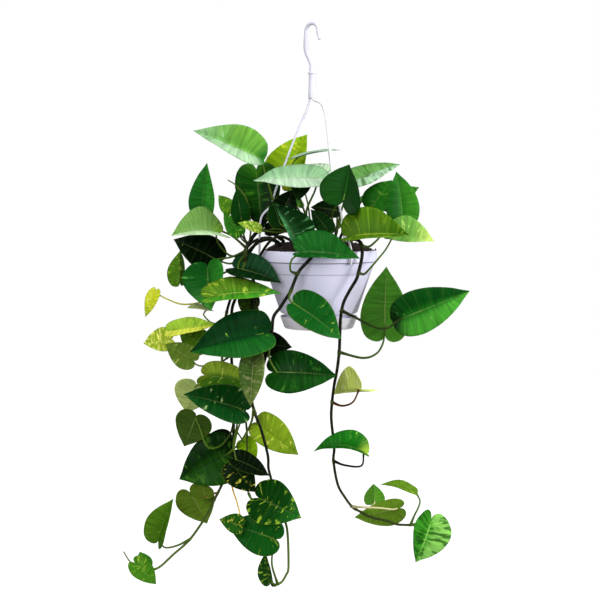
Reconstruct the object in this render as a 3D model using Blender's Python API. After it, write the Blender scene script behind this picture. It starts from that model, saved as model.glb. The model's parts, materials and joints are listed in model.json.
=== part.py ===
"""A variegated pothos in a small plastic hanging pot with a drip saucer and a three-strand hanger.

Metres, +Z up. The origin is the seat of the hanger's hook, where a ceiling hook or a rail carries the
whole thing. The front, from which the layout of the plant is planned, looks along +Y.
"""
from math import cos, pi, radians, sin

import bmesh
import bpy
from mathutils import Vector

MM = 0.001

# Driving dimensions, in millimetres
GAP = 0.3                     # clearance kept between pieces that touch
POT_X = 10.0                  # the pot hangs a little to the right of the hook
RIM_Z = -310.0                # top of the pot's rim, below the hook seat
RIM_RADIUS = 81.0
RIM_BAND = 15.0               # height of the thicker band round the rim
RIM_LIP = 2.5                 # how far the band stands proud of the body
WALL = 2.2
POT_HEIGHT = 88.0             # rim to the edge above the saucer
POT_BASE_RADIUS = 54.6
NECK_RADIUS = 48.0            # foot of the pot, standing down into the saucer
NECK_HEIGHT = 17.5
SAUCER_HEIGHT = 16.5
SAUCER_TOP_RADIUS = 54.0
SAUCER_BASE_RADIUS = 47.6
SAUCER_WALL = 1.8
SAUCER_FLOOR = 2.4
DRAIN_HOLES = 5
DRAIN_RADIUS = 4.0
DRAIN_RING = 28.0
SOIL_CROWN = 12.0             # how far the soil is mounded above the rim
SOIL_EDGE = -1.5
SOIL_ROUNDNESS = 5            # how flat the mound's top is before it falls away to the rim
HOOK_BEND = 11.0              # centre line radius of the hook
HOOK_ROD = 2.5
HOOK_TURN = 40.0              # degrees the hook is turned about the vertical
COLLAR_Z = -66.0
COLLAR_RADIUS = 5.4
SOCKET_Z = -100.0             # lower end of the grip, where the strands leave it
SOCKET_DEPTH = 9.0
SOCKET_RING = 2.9
STRAND = 1.25                 # radius of a hanger strand
STRAND_ANGLES = {"left": 180.0, "front": -60.0, "back": 60.0}
# Where each strand passes on its way down: distance from the pot's axis, height above the rim
STRAND_ROUTES = {
    "left": ((18, 192), (34, 155), (60, 85), (67, 62), (81, 44)),
    "front": ((16, 192), (38, 101), (68, 30)),
    "back": ((16, 192), (38, 101), (68, 30)),
}
BLADE = 0.8                   # thickness of a leaf
STALK = 1.35                  # radius of a leaf stalk
JOINT_ROW = 1.3               # how far up the blade its stalk runs on inside it
BEND_STEP = 6.0               # least distance between two bends of a leaf stalk
ROOTED = 13.0                 # how deep a stem stands in the soil

# Where the plan is seen from: a viewer in front, a little above the rim, looking slightly down
VIEWER = Vector((-16.5, -1670.0, -249.0))
VIEW_DISTANCE = 1670.0
VIEW_DOWN = radians(4.5)
VIEW_CENTRE = Vector((-16.8, 0.0, -385.0))

# Half of a leaf's outline: where a side vein leaves the midrib, and where it meets the margin, along
# the leaf and across it, as shares of the length and of the full width
LEAF_EDGE = (
    (0.00, 0.00, 0.00),
    (0.05, -0.075, 0.055),
    (0.10, -0.11, 0.18),
    (0.15, -0.06, 0.34),
    (0.22, 0.08, 0.46),
    (0.33, 0.29, 0.50),
    (0.50, 0.53, 0.42),
    (0.72, 0.76, 0.25),
    (0.87, 0.91, 0.09),
    (1.00, 1.00, 0.00),
)
# The same for a leaf that has no lobes, which the plan asks for with a negative lobe
ROUND_EDGE = (
    (0.00, 0.00, 0.00),
    (0.05, -0.01, 0.12),
    (0.10, 0.01, 0.24),
    (0.15, 0.05, 0.35),
    (0.22, 0.13, 0.44),
    (0.33, 0.30, 0.49),
    (0.50, 0.53, 0.42),
    (0.72, 0.76, 0.25),
    (0.87, 0.91, 0.09),
    (1.00, 1.00, 0.00),
)
BLADE_ROWS = (0.0, 1.5, 3.0, 4.6, 6.0, 7.3, 9.0)
SMALL_BLADE_ROWS = (0.0, 1.5, 3.0, 4.6, 6.4, 9.0)
SMALL_LEAF = 71.0             # leaves shorter than this, in mm, have the plainer grid

for old in list(bpy.data.objects):
    bpy.data.objects.remove(old)


def seen(across, up, toward):
    """The point that the viewer sees at (across, up) from the hook, `toward` mm in front of the pot's axis."""
    down = up - VIEW_CENTRE.z
    ahead = VIEW_DISTANCE * cos(VIEW_DOWN) + down * sin(VIEW_DOWN)
    rise = down * cos(VIEW_DOWN) - VIEW_DISTANCE * sin(VIEW_DOWN)
    reach = (VIEW_DISTANCE - toward) / ahead
    side = across - VIEW_CENTRE.x
    return Vector((VIEWER.x + side * reach, -toward, VIEWER.z + rise * reach)) * MM


def plain(x, toward, z):
    """A point given by its true place in millimetres."""
    return Vector((x, -toward, z)) * MM


def soil_height(radius):
    """Height of the soil above the rim, in mm, at a distance from the pot's axis."""
    share = min(radius / (RIM_RADIUS - RIM_LIP), 1.0)
    return SOIL_CROWN + (SOIL_EDGE - SOIL_CROWN) * share ** SOIL_ROUNDNESS


def smooth_path(points, spacing):
    """Points about `spacing` mm apart on one smooth curve through the given ones."""
    ends = [2 * points[0] - points[1], *points, 2 * points[-1] - points[-2]]
    path = []
    for before, start, end, after in zip(ends, ends[1:], ends[2:], ends[3:]):
        count = max(1, round((end - start).length / (spacing * MM)))
        leave = (end - before) / 2
        arrive = (after - start) / 2
        for step in range(count):
            t = step / count
            path.append((2 * t**3 - 3 * t**2 + 1) * start + (t**3 - 2 * t**2 + t) * leave
                        + (3 * t**2 - 2 * t**3) * end + (t**3 - t**2) * arrive)
    return path + [points[-1]]


def material(name, color, roughness):
    """A plain Principled material for one sub-part."""
    made = bpy.data.materials.new(name)
    made.use_nodes = True
    shader = made.node_tree.nodes["Principled BSDF"]
    shader.inputs["Base Color"].default_value = (*color, 1.0)
    shader.inputs["Roughness"].default_value = roughness
    shader.inputs["Metallic"].default_value = 0.0
    return made


def paint(item, coat):
    """Gives an object one material all over."""
    item.data.materials.clear()
    item.data.materials.append(coat)


def new_object(name, mesh):
    """Puts a mesh into the scene under a name."""
    made = bpy.data.objects.new(name, mesh)
    bpy.context.scene.collection.objects.link(made)
    return made


def face_outwards(bm):
    """Points every face of a closed body outwards."""
    bmesh.ops.recalc_face_normals(bm, faces=bm.faces)
    if bm.calc_volume(signed=True) < 0:
        bmesh.ops.reverse_faces(bm, faces=bm.faces)


def finish_bmesh(bm, name):
    """Turns a bmesh into an object with its faces pointing outwards."""
    face_outwards(bm)
    mesh = bpy.data.meshes.new(name)
    bm.to_mesh(mesh)
    bm.free()
    return new_object(name, mesh)


def freeze(item):
    """Applies an object's modifiers, or turns a curve into a mesh."""
    bpy.context.view_layer.update()
    evaluated = item.evaluated_get(bpy.context.evaluated_depsgraph_get())
    mesh = bpy.data.meshes.new_from_object(evaluated)
    name = item.name
    bpy.data.objects.remove(item)
    mesh.name = name
    return new_object(name, mesh)


def turned(name, profile, sides):
    """A closed ring or cup: a profile of (radius, height) in mm spun round the pot's axis."""
    bm = bmesh.new()
    corners = [bm.verts.new(plain(POT_X + radius, 0.0, RIM_Z + height)) for radius, height in profile]
    edges = [bm.edges.new(pair) for pair in zip(corners, corners[1:] + corners[:1])]
    bmesh.ops.spin(bm, geom=corners + edges, cent=plain(POT_X, 0.0, 0.0), axis=(0, 0, 1),
                   angle=2 * pi, steps=sides, use_merge=True)
    bmesh.ops.remove_doubles(bm, verts=bm.verts, dist=1e-6)
    bmesh.ops.dissolve_degenerate(bm, edges=bm.edges, dist=1e-7)
    return finish_bmesh(bm, name)


def cut_into_triangles(item):
    """Welds an object's mesh and cuts its faces into triangles, all facing outwards."""
    bm = bmesh.new()
    bm.from_mesh(item.data)
    bmesh.ops.remove_doubles(bm, verts=bm.verts, dist=1e-7)
    bmesh.ops.triangulate(bm, faces=bm.faces)
    face_outwards(bm)
    bm.to_mesh(item.data)
    bm.free()
    return item


def tube(name, path, radii, roundness):
    """A rod along a path, with a radius in mm at each point, and flat ends."""
    curve = bpy.data.curves.new(name, "CURVE")
    curve.dimensions = "3D"
    curve.bevel_depth = MM
    curve.bevel_resolution = roundness
    curve.use_fill_caps = True
    spline = curve.splines.new("POLY")
    spline.points.add(len(path) - 1)
    for point, place, radius in zip(spline.points, path, radii):
        point.co = (*place, 1.0)
        point.radius = radius
    return cut_into_triangles(freeze(new_object(name, curve)))


def pillar(name, base, height, radius, sides):
    """An upright prism from its base point, used as a cutter."""
    bm = bmesh.new()
    bmesh.ops.create_cone(bm, cap_ends=True, segments=sides, radius1=radius * MM, radius2=radius * MM,
                          depth=height * MM)
    bmesh.ops.translate(bm, verts=bm.verts, vec=base + Vector((0, 0, height * MM / 2)))
    cutter = finish_bmesh(bm, name)
    cutter.hide_render = True
    cutter.display_type = "WIRE"
    return cutter


def combine(target, others, operation, solver="EXACT"):
    """Joins or cuts an object with others by one Boolean on their collection, and applies it."""
    group = bpy.data.collections.new(target.name + "_pieces")
    for item in others:
        group.objects.link(item)
    change = target.modifiers.new(operation.lower(), "BOOLEAN")
    change.operation = operation
    change.operand_type = "COLLECTION"
    change.collection = group
    change.solver = solver
    result = freeze(target)
    for item in others:
        bpy.data.objects.remove(item)
    bpy.data.collections.remove(group)
    return result


def leaf(base, tip, face, stalk, wide=0.72, fold=8.0, arch=0.04, wave=0.012, lobe=1.0):
    """One leaf of the plan: stalk joint and tip as seen, the way its upper side looks (right, up, toward),
    the stalk's points from the stem, width as a share of length, fold of the halves in degrees, the rise
    of the midrib and of the wavy margin as shares of the length, and how long the lobes are, with -1 for
    a leaf that has none."""
    return {"base": base, "tip": tip, "face": face, "stalk": stalk, "wide": wide, "fold": fold,
            "arch": arch, "wave": wave, "lobe": lobe}


def leaf_edge(row, outline):
    """Smooth values of a half outline at a row number that need not be whole."""
    index = min(int(row), len(outline) - 2)
    t = row - index
    around = [Vector(outline[min(max(index + step, 0), len(outline) - 1)]) for step in (-1, 0, 1, 2)]
    before, start, end, after = around
    return ((2 * t**3 - 3 * t**2 + 1) * start + (t**3 - 2 * t**2 + t) * (end - before) / 2
            + (3 * t**2 - 2 * t**3) * end + (t**3 - t**2) * (after - start) / 2)


def leaf_axes(plan):
    """A leaf's joint, length, and directions along it, across it and out of its upper side."""
    base = seen(*plan["base"])
    chord = seen(*plan["tip"]) - base
    along = chord.normalized()
    right, up, toward = plan["face"]
    face = Vector((right, -toward, up))
    out = (face - face.dot(along) * along).normalized()
    return base, chord.length, along, out.cross(along), out


def blade_point(plan, row, side):
    """The place on a leaf's middle surface: row 0 to 9 from joint to tip, side -1 to 1 across."""
    base, length, along, across, out = leaf_axes(plan)
    lobed = plan["lobe"] > 0
    rib, margin_along, margin_across = leaf_edge(row, LEAF_EDGE if lobed else ROUND_EDGE)
    if lobed and margin_along < 0:
        margin_along *= plan["lobe"]
    reach = abs(side)
    far = rib + (margin_along - rib) * reach
    fold = radians(plan["fold"])
    width = margin_across * reach * plan["wide"] * length
    height = width * sin(fold)
    height += length * plan["arch"] * 4 * far * (1 - far)
    height += length * 0.05 * 4 * reach * (1 - reach) * margin_across
    ripple = min(3 * margin_across, 1.0) * reach**2
    height += length * plan["wave"] * ripple * sin(row * 1.9 + 2.4 * side + 40 * plan["wide"])
    sign = 1 if side > 0 else -1
    return base + along * far * length + across * sign * width * cos(fold) + out * height


def blade(name, plan):
    """A leaf blade: a grid laid on the leaf's surface, cut into triangles and given its thickness."""
    bm = bmesh.new()
    out = leaf_axes(plan)[4] * BLADE * MM
    large = leaf_axes(plan)[1] > SMALL_LEAF * MM
    stations = BLADE_ROWS if large else SMALL_BLADE_ROWS
    rows = len(stations) - 1
    bmesh.ops.create_grid(bm, x_segments=4 if large else 2, y_segments=rows, size=1.0)
    for vert in bm.verts:
        row = stations[round((vert.co.y + 1) / 2 * rows)]
        vert.co = blade_point(plan, row, vert.co.x) - out / 2
    bmesh.ops.remove_doubles(bm, verts=bm.verts, dist=1e-6)
    bmesh.ops.triangulate(bm, faces=bm.faces)
    raised = bmesh.ops.extrude_face_region(bm, geom=bm.faces, use_keep_orig=True)["geom"]
    upper = [item for item in raised if isinstance(item, bmesh.types.BMVert)]
    bmesh.ops.translate(bm, verts=upper, vec=out)
    bmesh.ops.triangulate(bm, faces=bm.faces)
    return finish_bmesh(bm, name)


def nearest_on(path, place):
    """The point of a path that is nearest to a place."""
    found = []
    for start, end in zip(path, path[1:]):
        run = end - start
        share = min(max((place - start).dot(run) / run.length_squared, 0.0), 1.0)
        found.append(start + share * run)
    return min(found, key=lambda point: (point - place).length)


def stalk_path(plan, stem):
    """A leaf stalk's path: out of the stem, through its planned points, and just past the leaf's joint."""
    base, out = leaf_axes(plan)[0], leaf_axes(plan)[4]
    points = [seen(*point) for point in plan["stalk"]]
    points[0] = nearest_on(stem, points[0])
    if len(points) == 1:
        reach = (base - points[0]).length
        points.append(points[0] + (base - points[0]) * 0.5 + Vector((0, 0, 0.12 * reach)))
    points.append(blade_point(plan, JOINT_ROW, 0.0) - out * BLADE / 3 * MM)
    path = [points[0]]
    for place in smooth_path(points, 32.0)[1:-1]:
        if (place - path[-1]).length > BEND_STEP * MM and (place - points[-1]).length > BEND_STEP * MM:
            path.append(place)
    return [*path, points[-1]]


def stalk(name, plan, stem):
    """A leaf stalk, thicker for a longer leaf, that thins towards the leaf."""
    path = stalk_path(plan, stem)
    thick = STALK * (0.85 + 0.4 * leaf_axes(plan)[1] / (80 * MM))
    radii = [thick * (1.0 - 0.3 * index / (len(path) - 1)) for index in range(len(path))]
    return tube(name, path, radii, 0)


def stem_path(plan):
    """A stem's path: straight up out of the soil, then smoothly through its planned points."""
    x, toward = plan["root"]
    radius = Vector((x - POT_X, toward, 0)).length
    top = soil_height(radius) + 3.0
    foot = plain(x, toward, RIM_Z + soil_height(radius) - ROOTED)
    rise = plain(x, toward, RIM_Z + top)
    return [foot] + smooth_path([rise] + [seen(*point) for point in plan["route"]], plan["spacing"])


def grow(name, plan):
    """A leafy stem as one closed body: the stem, its leaf stalks and its leaves, joined."""
    path = stem_path(plan)
    count = len(path)
    thick, thin = plan["radius"]
    stem = tube(name, path, [thick + (thin - thick) * index / (count - 1) for index in range(count)], 1)
    end, before = path[-1], path[-2]
    inside = [*path[:-1], end + (before - end).normalized() * 2.5 * MM]
    pieces = []
    for number, each in enumerate(plan["leaves"]):
        pieces.append(stalk(f"{name}_stalk_{number}", each, inside))
        pieces.append(blade(f"{name}_blade_{number}", each))
    for number, route in enumerate(plan["stubs"]):
        points = [seen(*point) for point in route]
        points[0] = nearest_on(inside, points[0])
        bare = smooth_path(points, 32.0)
        radii = [STALK * (1.1 - 0.5 * index / (len(bare) - 1)) for index in range(len(bare))]
        pieces.append(tube(f"{name}_stub_{number}", bare, radii, 0))
    return combine(stem, pieces, "UNION", "MANIFOLD")


def stem_plan(root, route, leaves, radius=(2.4, 1.6), spacing=17.0, stubs=()):
    """One stem of the plan: where it stands in the soil (x, toward), its route as seen, its leaves, and the
    routes of stalks that have lost their leaf."""
    return {"root": root, "route": route, "leaves": leaves, "radius": radius, "spacing": spacing,
            "stubs": stubs}


# The plan of the plant, in millimetres as seen from the front: (across, up, toward)
PLANTS = {
    "vine_right": stem_plan(
        (50, 36),
        [(60, -300, 52), (69, -306, 62), (70, -323, 68), (66, -343, 69), (62, -356, 68), (53, -371, 67),
         (44, -389, 66), (40, -410, 66), (39, -434, 66), (38, -458, 66), (35, -483, 66), (31, -504, 66),
         (28, -528, 66), (27, -552, 66), (31, -591, 66), (30, -610, 66), (36, -643, 66), (46, -661, 66),
         (56, -674, 67), (69, -682, 68), (83, -689, 68), (105, -694, 68), (119, -699, 68), (141, -700, 68)],
        [
            leaf((127, -276, 8), (118, -205, 10), (0.25, 0.2, 0.93),
                 [(69, -310, 63), (80, -310, 52), (90, -302, 38), (100, -292, 22), (116, -284, 12)],
                 wide=0.72, fold=12),
            leaf((110, -294, 32), (171, -303, 46), (0.15, 0.72, 0.64),
                 [(65, -346, 68), (72, -349, 66), (80, -342, 60), (92, -328, 52), (104, -313, 42)],
                 wide=1.0, fold=26),
            leaf((113, -416, 62), (221, -372, 46), (0.1, 0.15, 0.98),
                 [(43, -400, 66), (60, -409, 68), (88, -423, 68), (106, -424, 66)], wide=0.55, fold=12,
                 lobe=-1),
            leaf((102, -435, 40), (104, -338, 24), (-0.1, 0.2, -0.97),
                 [(38, -458, 66), (71, -466, 62), (90, -460, 56), (99, -446, 46)],
                 wide=0.71, fold=6, lobe=0.8),
            leaf((68, -511, 78), (30, -517, 14), (0.62, 0.75, -0.3),
                 [(28, -528, 66), (42, -533, 68), (57, -528, 76)], wide=0.86, fold=37),
            leaf((77, -600, 86), (2, -597, 84), (0.0, 0.85, 0.5),
                 [(30, -610, 66), (45, -616, 76), (69, -617, 86)],
                 wide=0.68, fold=34, arch=0.17, lobe=0.4),
            leaf((123, -676, 54), (59, -689, 46), (0.0, -0.5, -0.87),
                 [(56, -674, 67), (70, -675, 76), (94, -676, 72), (112, -678, 64)], wide=0.66, fold=30),
            leaf((88, -671, 26), (86, -642, 20), (0.0, 0.2, -0.97),
                 [(56, -674, 67), (61, -679, 54), (74, -680, 34)], wide=1.05, fold=10, lobe=0.2),
            leaf((147, -655, 64), (96, -643, 72), (0.1, 0.9, 0.4),
                 [(138, -699, 68), (143, -687, 67), (149, -675, 66), (151, -665, 65)],
                 wide=0.44, fold=10, arch=0.1, lobe=0.3),
            leaf((167, -691, 68), (145, -752, 80), (0.5, 0.25, 0.83),
                 [(141, -700, 68), (154, -697, 68)], wide=1.06, fold=22, lobe=1.5),
        ]),
    "vine_front": stem_plan(
        (16, 58),
        [(10, -298, 74), (5, -308, 84), (0, -324, 90), (-17, -343, 90), (-24, -357, 90), (-30, -373, 90),
         (-36, -382, 89), (-45, -396, 88), (-54, -409, 88), (-57, -434, 90), (-66, -468, 88), (-76, -500, 85),
         (-84, -522, 84), (-80, -543, 84), (-71, -567, 83), (-62, -602, 76), (-61, -620, 60),
         (-57, -636, 48), (-50, -660, 44), (-38, -693, 46), (-34, -715, 50), (-33, -759, 56),
         (-36, -769, 57), (-43, -780, 58), (-54, -785, 59)],
        [
            leaf((-18, -318, 94), (67, -327, 92), (0.05, 0.78, 0.62),
                 [(-20, -348, 90), (-30, -344, 98), (-28, -328, 98)], wide=0.8, fold=28),
            leaf((-24, -391, 97), (41, -440, 94), (0.35, 0.5, 0.8), [(-29, -372, 90), (-32, -384, 96)],
                 wide=0.78, fold=18),
            leaf((-55, -486, 96), (35, -491, 102), (0.0, 0.5, 0.87), [(-58, -440, 90), (-60, -466, 96)],
                 wide=0.72, fold=6),
            leaf((-78, -556, 58), (-19, -602, 56), (0.2, 0.35, 0.9), [(-80, -543, 84), (-78, -551, 72)],
                 wide=0.63, fold=8, lobe=0.5),
            leaf((-112, -597, 46), (-186, -636, 54), (0.15, 0.35, 0.9),
                 [(-82, -538, 84), (-85, -556, 80), (-94, -574, 64), (-104, -588, 52)], wide=0.9, fold=6),
            leaf((-50, -720, 66), (-119, -697, 58), (0.0, 0.35, 0.93),
                 [(-48, -783, 59), (-56, -756, 66), (-55, -734, 68)], wide=0.8, fold=6),
            leaf((-59, -781, 60), (-65, -738, 60), (-0.6, 0.1, 0.8), [(-54, -785, 59)], wide=0.66, fold=28),
        ]),
    "vine_left": stem_plan(
        (-44, 34),
        [(-60, -298, 38), (-76, -304, 34), (-87, -318, 24), (-94, -336, 10), (-101, -356, 0),
         (-106, -379, 8), (-112, -398, 22), (-113, -430, 32), (-113, -458, 24), (-112, -480, 18),
         (-112, -500, 22), (-111, -520, 32), (-110, -540, 36), (-110, -556, 34), (-110, -585, 32),
         (-111, -612, 32), (-119, -624, 36), (-126, -643, 40), (-137, -665, 42), (-148, -687, 42),
         (-171, -720, 44), (-194, -741, 46), (-214, -759, 46), (-228, -763, 46)],
        [
            leaf((-166, -470, 24), (-205, -446, 30), (0.2, -0.4, -0.9),
                 [(-113, -462, 23), (-132, -474, 24), (-158, -477, 24)],
                 wide=0.82, fold=14),
            leaf((-162, -547, 56), (-179, -590, 50), (0.1, 0.1, -1.0),
                 [(-110, -560, 33), (-116, -575, 50), (-130, -590, 60), (-147, -590, 64), (-158, -562, 62)],
                 wide=1.1, fold=6),
            leaf((-116, -582, 25), (-152, -580, 24), (0.0, 0.3, 0.95), [(-110, -590, 32)],
                 wide=0.9, fold=10),
            leaf((-97, -582, 38), (-78, -609, 42), (0.3, 0.2, 0.93), [(-110, -566, 33)], wide=0.9),
            leaf((-110, -607, 80), (-60, -631, 70), (0.2, 0.6, 0.75),
                 [(-111, -534, 38), (-101, -553, 52), (-105, -570, 62), (-109, -592, 74)],
                 wide=0.6, fold=18),
            leaf((-112, -614, 60), (-79, -654, 64), (-0.3, 0.3, 0.9),
                 [(-110, -540, 38), (-105, -558, 48), (-110, -585, 55)], wide=0.85, fold=14),
            leaf((-99, -701, 84), (-130, -692, 88), (0.0, 0.45, 0.9),
                 [(-113, -614, 33), (-112, -645, 54), (-105, -668, 70), (-100, -690, 80)], wide=0.9, fold=14),
            leaf((-215, -722, 46), (-194, -663, 52), (-0.55, 0.2, 0.8),
                 [(-171, -720, 44), (-190, -729, 48), (-207, -731, 48)], wide=0.78, fold=34),
            leaf((-171, -654, 24), (-147, -698, 22), (0.1, 0.1, -0.99),
                 [(-137, -665, 42), (-153, -662, 34)], wide=1.14, lobe=1.6),
            leaf((-150, -662, 52), (-154, -641, 56), (0.0, 0.2, -0.98), [(-132, -655, 42)], wide=1.2),
            leaf((-248, -753, 54), (-218, -783, 58), (0.3, 0.5, 0.8),
                 [(-228, -763, 46), (-241, -760, 52)], wide=0.76, lobe=1.4),
            leaf((-234, -760, 40), (-241, -737, 34), (0.0, 0.2, -0.95), [(-222, -762, 46)], wide=1.1),
        ],
        stubs=[[(-228, -763, 46), (-240, -762, 50), (-254, -752, 50), (-264, -737, 50)]]),
    "vine_cluster": stem_plan(
        (-40, 10),
        [(-58, -290, 18), (-74, -288, 30), (-87, -303, 42), (-93, -318, 46), (-92, -336, 42),
         (-84, -352, 42), (-81, -364, 40), (-81, -379, 44), (-78, -393, 60), (-74, -406, 70),
         (-68, -424, 72), (-78, -444, 80), (-88, -456, 88)],
        [
            leaf((-146, -337, 17), (-141, -400, 36), (-0.42, 0.5, 0.75),
                 [(-93, -316, 46), (-114, -325, 35), (-136, -329, 19)], wide=1.1, fold=25),
            leaf((-108, -340, 40), (-43, -361, 66), (0.1, 0.7, 0.7), [(-93, -322, 45), (-102, -332, 42)],
                 wide=0.76, fold=24),
            leaf((-144, -381, 78), (-43, -376, 68), (0.05, 0.9, 0.42),
                 [(-92, -332, 43), (-110, -366, 50), (-138, -380, 68)], wide=0.66, fold=16),
            leaf((-61, -431, 102), (-171, -458, 110), (0.0, 0.68, 0.73), [(-70, -420, 72), (-67, -429, 88)],
                 wide=0.74, fold=13, lobe=0.6),
            leaf((-81, -462, 96), (-86, -534, 98), (-0.2, 0.1, 0.95), [(-88, -456, 88)],
                 wide=0.55, fold=20),
        ], radius=(2.8, 1.8)),
    "vine_upper_left": stem_plan(
        (-50, -14),
        [(-64, -298, -18), (-80, -302, -20), (-92, -312, -20), (-99, -326, -20), (-106, -342, -20)],
        [
            leaf((-101, -292, 16), (-124, -264, 12), (-0.2, 0.3, 0.93), [(-88, -308, -20), (-98, -300, 4)],
                 wide=0.7),
            leaf((-99, -274, 22), (-106, -229, 26), (0.2, 0.2, 0.95), [(-90, -310, -20), (-96, -292, 4)],
                 wide=0.62),
            leaf((-113, -260, 6), (-131, -238, 8), (-0.2, 0.3, 0.93), [(-88, -308, -20), (-106, -284, -6)],
                 wide=0.8),
            leaf((-153, -268, -14), (-147, -193, 2), (-0.35, 0.1, 0.93),
                 [(-92, -312, -20), (-114, -294, -18), (-146, -280, -12)], wide=0.54, fold=14),
            leaf((-131, -291, 14), (-197, -295, 52), (0.1, 0.75, 0.66),
                 [(-98, -324, -20), (-116, -322, -12), (-131, -306, 4)], wide=0.98, fold=28, arch=0.1,
                 lobe=1.5),
            leaf((-131, -330, -4), (-194, -300, 4), (-0.2, 0.5, 0.85), [(-100, -330, -20), (-116, -334, -12)],
                 wide=0.8),
            leaf((-185, -361, 3), (-184, -315, -9), (-0.6, 0.1, 0.75),
                 [(-105, -340, -20), (-136, -352, -14), (-168, -362, -2)], wide=0.8, fold=20),
        ],
        stubs=[[(-88, -308, -20), (-86, -284, 2), (-91, -246, 12), (-106, -225, 14), (-118, -217, 14)]]),
    "vine_rear_left": stem_plan(
        (-46, -36),
        [(-62, -300, -42), (-80, -308, -42), (-96, -328, -40), (-106, -360, -28), (-118, -396, -12),
         (-124, -430, 0), (-126, -470, 10), (-125, -500, 18)],
        [
            leaf((-219, -372, 22), (-233, -409, 30), (-0.2, 0.4, 0.9),
                 [(-110, -374, -23), (-146, -386, 2), (-179, -391, 16), (-202, -384, 21)],
                 wide=0.5),
            leaf((-144, -398, 20), (-175, -396, 42), (0.0, 0.94, 0.35),
                 [(-120, -402, -10), (-124, -416, 0), (-140, -417, 12), (-152, -405, 20)], wide=0.75),
            leaf((-199, -428, 34), (-133, -420, 48), (0.0, 0.7, 0.72),
                 [(-121, -412, -6), (-150, -424, -4), (-186, -433, 14), (-202, -434, 28)],
                 wide=0.47, fold=16),
            leaf((-197, -440, 2), (-236, -446, 10), (-0.2, 0.5, 0.85),
                 [(-124, -430, 0), (-160, -442, -8), (-188, -446, -6)], wide=1.0),
            leaf((-150, -450, 4), (-186, -430, -4), (0.2, 0.3, 0.93), [(-125, -446, 4)], wide=0.95),
            leaf((-162, -503, 34), (-175, -543, 42), (-0.5, -0.1, -0.85),
                 [(-126, -484, 14), (-148, -496, 24)], wide=1.35),
            leaf((-150, -490, 38), (-74, -505, 62), (0.1, 0.55, 0.83), [(-126, -490, 16), (-141, -494, 28)],
                 wide=0.59),
        ]),
    "vine_inner": stem_plan(
        (-22, 52),
        [(-44, -296, 56), (-60, -304, 54), (-75, -328, 30), (-82, -352, 10), (-84, -376, 12),
         (-84, -412, 24), (-88, -448, 34), (-92, -480, 38), (-93, -510, 38), (-94, -540, 44),
         (-92, -560, 50), (-91, -581, 52), (-92, -640, 54), (-88, -658, 58)],
        [
            leaf((-86, -378, 4), (-94, -408, 0), (0.0, 0.2, 0.97), [(-83, -364, 11)], wide=1.0),
            leaf((-76, -448, 30), (-28, -451, 40), (0.0, 0.6, 0.8), [(-86, -438, 33)], wide=0.9),
            leaf((-95, -539, 78), (-180, -517, 92), (0.0, 0.6, 0.8), [(-93, -546, 46), (-90, -546, 66)],
                 wide=0.66, fold=12),
            leaf((-75, -662, 68), (-15, -690, 100), (-0.15, 0.45, 0.88),
                 [(-88, -658, 58), (-84, -664, 62)], wide=0.94, fold=10, lobe=1.5),
        ], radius=(2.0, 1.3)),
    "vine_back": stem_plan(
        (6, -50),
        [(4, -296, -66), (0, -302, -80), (-2, -318, -90), (-6, -350, -92), (0, -380, -92), (8, -400, -92)],
        [
            leaf((-26, -322, -98), (-44, -384, -110), (-0.2, 0.2, -0.95), [(-2, -318, -90)]),
            leaf((38, -338, -98), (56, -400, -106), (0.2, 0.2, -0.95), [(-4, -340, -91)]),
            leaf((12, -300, -100), (24, -346, -136), (0.1, 0.5, -0.85), [(2, -299, -74)]),
            leaf((2, -364, -120), (-8, -414, -134), (-0.1, 0.3, -0.95), [(-5, -346, -92)]),
        ]),
    "shoot_left": stem_plan(
        (-28, 14),
        [(-32, -290, 12), (-36, -284, 10)],
        [
            leaf((-67, -189, 14), (-166, -148, 28), (0.1, 0.55, 0.83),
                 [(-36, -284, 10), (-52, -252, 10), (-64, -212, 12)], wide=0.62, fold=29, lobe=-1),
            leaf((-78, -202, -20), (-70, -288, -8), (0.0, 0.25, 0.97),
                 [(-34, -287, 11), (-50, -240, -14), (-68, -206, -24)], wide=0.74),
            leaf((-73, -286, 46), (-104, -277, 50), (0.0, 0.6, 0.8), [(-33, -289, 12), (-54, -290, 34)],
                 wide=0.55),
            leaf((-46, -268, 20), (-26, -230, 18), (0.3, 0.3, 0.9), [(-36, -284, 10), (-44, -276, 16)],
                 wide=0.9),
            leaf((-62, -287, -10), (-18, -281, -6), (0.1, 0.6, 0.75), [(-33, -288, 12), (-46, -286, -3)],
                 wide=0.62),
        ]),
    "shoot_middle": stem_plan(
        (0, -8),
        [(-1, -290, -8), (-2, -282, -9)],
        [
            leaf((-42, -222, -46), (-7, -153, -54), (-0.44, 0.25, 0.86),
                 [(-2, -282, -9), (-24, -250, -30)], wide=0.87, fold=24),
            leaf((15, -215, 44), (-82, -218, 56), (0.05, 0.87, 0.5),
                 [(-1, -286, -8), (-8, -262, 12), (4, -232, 36)], wide=0.72, fold=5),
            leaf((-24, -186, -4), (41, -175, 0), (0.0, 0.99, 0.1),
                 [(-2, -284, -9), (-18, -240, -6), (-28, -200, -4)], wide=0.62, fold=6),
            leaf((-14, -218, 24), (-20, -246, 36), (0.0, 0.5, 0.85), [(-1, -286, -8), (-6, -250, 8)],
                 wide=0.9),
        ]),
    "shoot_right": stem_plan(
        (32, 12),
        [(34, -290, 12), (36, -282, 11)],
        [
            leaf((43, -248, 98), (52, -195, 54), (0.5, 0.5, 0.7),
                 [(34, -290, 12), (28, -270, 32), (32, -256, 72)], wide=1.02, fold=-22),
            leaf((52, -221, -12), (123, -195, -28), (0.0, 0.88, 0.43), [(36, -282, 11), (44, -250, -4)],
                 wide=0.72, fold=5),
            leaf((84, -255, 2), (112, -217, -4), (-0.3, 0.3, 0.9), [(36, -284, 11), (62, -266, 4)],
                 wide=0.9),
            leaf((27, -214, 18), (-12, -197, 12), (0.2, 0.6, 0.75), [(36, -283, 11), (34, -246, 14)],
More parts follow.
